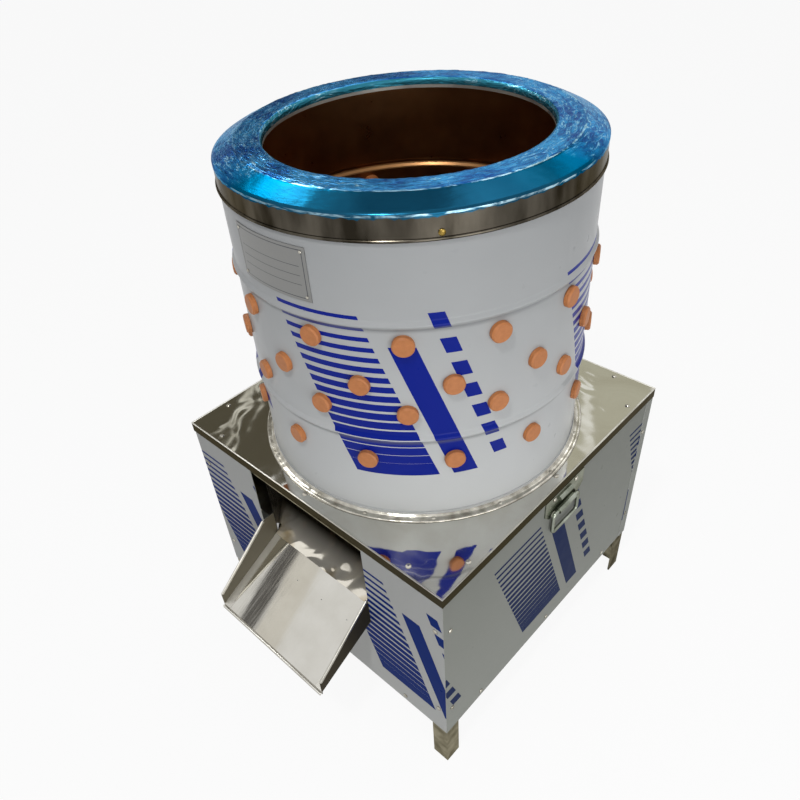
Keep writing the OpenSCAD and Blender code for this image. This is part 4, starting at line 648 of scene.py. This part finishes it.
# light and dark patches
streaky = addNode(blue, "ShaderNodeMapRange", {0: streaky, 1: 0.82, 2: 1.18}).outputs[0]
flatTone = addNode(blue, "ShaderNodeMix", {0: streaky, 6: hexColour(rimFilm["flat"]),
                                           7: hexColour(rimFilm["flatLight"])}, data_type="RGBA").outputs[2]
slopeTone = addNode(blue, "ShaderNodeMix", {0: cloud, 6: hexColour(rimFilm["slope"]),
                                            7: hexColour(rimFilm["slopeLight"])},
                    data_type="RGBA").outputs[2]
tone = addNode(blue, "ShaderNodeMix", {0: flat, 6: slopeTone, 7: flatTone}, data_type="RGBA").outputs[2]
tone = addNode(blue, "ShaderNodeMix", {0: inLip, 6: tone, 7: hexColour(rimFilm["lip"])},
               data_type="RGBA").outputs[2]
ridge = addNode(blue, "ShaderNodeMath", {0: folds, 1: 0.5}, operation="SUBTRACT").outputs[0]
ridge = addNode(blue, "ShaderNodeMath", {0: ridge}, operation="ABSOLUTE").outputs[0]
# fold ridges, where glints are painted
line = addNode(blue, "ShaderNodeMapRange", {0: ridge, 1: 0.0, 2: 0.03, 3: 1.0, 4: 0.0}).outputs[0]
aside = addNode(blue, "ShaderNodeVectorMath", {0: ring.outputs[0], 1: rimFilm["side"]},
                operation="DOT_PRODUCT")
toSide = addNode(blue, "ShaderNodeMath", {0: aside.outputs["Value"]}, operation="ABSOLUTE")
pull = addNode(blue, "ShaderNodeMapRange", {0: toSide.outputs[0], 1: 110, 2: 200, 3: 0.0,
                                            4: 0.26}).outputs[0]
patch = addNode(blue, "ShaderNodeMath", {0: cloud, 1: pull}, operation="ADD").outputs[0]
# painted glints gather at the sides
patch = addNode(blue, "ShaderNodeMapRange", {0: patch, 1: 0.52, 2: 0.66}).outputs[0]
paintedGlint = addNode(blue, "ShaderNodeMath", {0: line, 1: patch}, operation="MULTIPLY").outputs[0]
# short strokes, not lines
broken = addNode(blue, "ShaderNodeMapRange", {0: crinkle, 1: 0.46, 2: 0.56}).outputs[0]
paintedGlint = addNode(blue, "ShaderNodeMath", {0: paintedGlint, 1: broken}, operation="MULTIPLY").outputs[0]
paintedGlint = addNode(blue, "ShaderNodeMath", {0: paintedGlint, 1: flat}, operation="MULTIPLY").outputs[0]
# along the fold and the hem: scuffs and a painted highlight, brighter towards one side
scuffAndHighlight = addNode(blue, "ShaderNodeMapRange", {0: crinkle, 1: 0.42, 2: 0.6}).outputs[0]
onFold = addNode(blue, "ShaderNodeMath", {0: reach, 1: foldAt, 2: 1.1}, operation="COMPARE").outputs[0]
onHem = addNode(blue, "ShaderNodeMath", {0: axes.outputs["Z"], 1: edgeZ - rimFilm["hemDrops"][0], 2: 1.3},
                operation="COMPARE").outputs[0]
edges = addNode(blue, "ShaderNodeMath", {0: onFold, 1: onHem}, operation="MAXIMUM").outputs[0]
rubbed = addNode(blue, "ShaderNodeMath", {0: scuffAndHighlight, 1: edges}, operation="MULTIPLY").outputs[0]
highlightSide = addNode(blue, "ShaderNodeMapRange", {0: aside.outputs["Value"], 1: -150, 2: 150, 3: 0.35,
                                            4: 0.85}).outputs[0]
rubbed = addNode(blue, "ShaderNodeMath", {0: rubbed, 1: highlightSide}, operation="MULTIPLY").outputs[0]
# the painted glints and the painted highlight on the fold and the hem, mixed in as one pale colour
light = addNode(blue, "ShaderNodeMath", {0: paintedGlint, 1: rubbed}, operation="MAXIMUM").outputs[0]
tone = addNode(blue, "ShaderNodeMix", {0: light, 6: tone, 7: hexColour(rimFilm["paintedGlint"])},
               data_type="RGBA").outputs[2]
wrinkle = addNode(blue, "ShaderNodeMath", {0: crinkle, 1: folds}, operation="ADD").outputs[0]
depth = addNode(blue, "ShaderNodeMapRange", {0: flat, 3: 0.08, 4: 0.7}).outputs[0]
bump = addNode(blue, "ShaderNodeBump", {"Height": wrinkle, "Strength": depth, "Distance": 0.0015})
rough = addNode(blue, "ShaderNodeMapRange", {0: flat, 3: 0.2, 4: 0.25}).outputs[0]
milky = addNode(blue, "ShaderNodeMapRange", {0: flat, 3: 1.0, 4: 0.72}).outputs[0]  # slack film is cloudy
skin = addNode(blue, "ShaderNodeBsdfPrincipled", {"Base Color": tone, "Metallic": milky, "Roughness": rough,
                                                  "Normal": bump.outputs[0],
                                                  "Specular Tint": (0.22, 0.48, 0.65, 1)})
addNode(blue, "ShaderNodeOutputMaterial", {"Surface": skin.outputs[0]})
film.data.materials.append(blue)
print("rim film laid")

# folded edge of the deck: a thin bright hem all round
deckFold = {"corners": 4, "rings": [(-2.0, 0.05), (-0.8, 0.4), (0.16, 0.36), (0.4, -0.2), (0.4, -0.7),
                                    (0.05, -1.2)]}  # mm past the deck's side, and above its top
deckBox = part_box("deck")
deckHalf = (deckBox[1][0] - deckBox[0][0]) / 2 / mm
deckZ = deckTop / mm
corner = 2 ** 0.5  # a square's corner over its half width
foldRings = [(corner * (deckHalf + past), deckZ + above) for past, above in deckFold["rings"]]
fold = layRings("deck_fold", deckFold["corners"], foldRings, math.pi / deckFold["corners"])
bpy.ops.object.shade_flat()
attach(fold, "cabinet")
fold.data.materials.append(metalNamed["bright stainless, hems"])

# crimped foot of the barrel, hammered down on the deck
footCrimp = {"sides": 300, "dent": 0.7, "dentSize": 22,
             "rings": [(251.4, 4.9), (252.3, 4.7), (253.0, 3.9), (253.9, 3.0), (256.0, 2.2), (259.5, 2.0),
                       (262.0, 1.9), (263.2, 1.2), (263.4, 0.3)]}  # mm from the axis, and above the deck
crimpRings = [(radius, deckZ + above) for radius, above in footCrimp["rings"]]
crimp = layRings("foot_crimp", footCrimp["sides"], crimpRings)
dents = bpy.data.textures.new("dents", "CLOUDS")
dents.noise_scale = footCrimp["dentSize"] * mm
dents.noise_depth = 1
applyModifier(crimp, "DISPLACE", texture=dents, texture_coords="LOCAL", strength=footCrimp["dent"] * mm,
              mid_level=0.3)
bpy.ops.object.shade_smooth()
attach(crimp, "cabinet")
crimp.data.materials.append(metalNamed["crimped stainless, foot ring"])
print("deck and foot edges laid")

# hems: the chute's wall tops and lip are folded over on themselves
chuteHem = {"high": 6, "thick": 3.2, "round": 1.3, "sharp": 0.6, "sheet": 1.2, "tipDrop": 230.1, "end": 1.5,
            "sink": 0.4, "lipOut": 2.6, "lipUp": 2.5}  # mm; sharp is an angle, sink a share of the height
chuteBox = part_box("discharge_chute")
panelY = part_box("front_panel")[0][1]
tipY = chuteBox[0][1]
wallX = (chuteBox[1][0] - chuteBox[0][0]) / 2 - chuteHem["sheet"] / 2 * mm
chuteTop = chuteBox[1][2]
tipTop = deckTop - chuteHem["tipDrop"] * mm


def foldHem(name, start, end):
    deselectAll()
    way = end - start
    bpy.ops.mesh.primitive_cube_add(size=1, location=(0, 0, 0))
    hem = bpy.context.object
    hem.name = name
    hem.scale = (chuteHem["thick"] * mm, chuteHem["high"] * mm, way.length)
    bpy.ops.object.transform_apply(location=True, rotation=True, scale=True)
    applyModifier(hem, "BEVEL", width=chuteHem["round"] * mm, segments=3, limit_method="ANGLE")
    hem.rotation_euler = way.to_track_quat("Z", "Y").to_euler()
    hem.location = (start + end) / 2
    bpy.ops.object.transform_apply(location=True, rotation=True, scale=True)
    bpy.ops.object.shade_smooth_by_angle(angle=chuteHem["sharp"])
    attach(hem, "cabinet")
    hem.data.materials.append(metalNamed["bright stainless, hems"])


down = Vector((0, 0, -chuteHem["sink"] * chuteHem["high"] * mm))
inset = chuteHem["end"] * mm
for name, x in [("chute_hem_left", -wallX), ("chute_hem_right", wallX)]:
    foldHem(name, Vector((x, tipY + inset, tipTop)) + down, Vector((x, panelY - inset, chuteTop)) + down)
lipY = tipY - chuteHem["lipOut"] * mm
lipZ = chuteBox[0][2] + chuteHem["lipUp"] * mm
foldHem("chute_lip", Vector((-wallX, lipY, lipZ)), Vector((wallX, lipY, lipZ)))
print("chute hems folded")
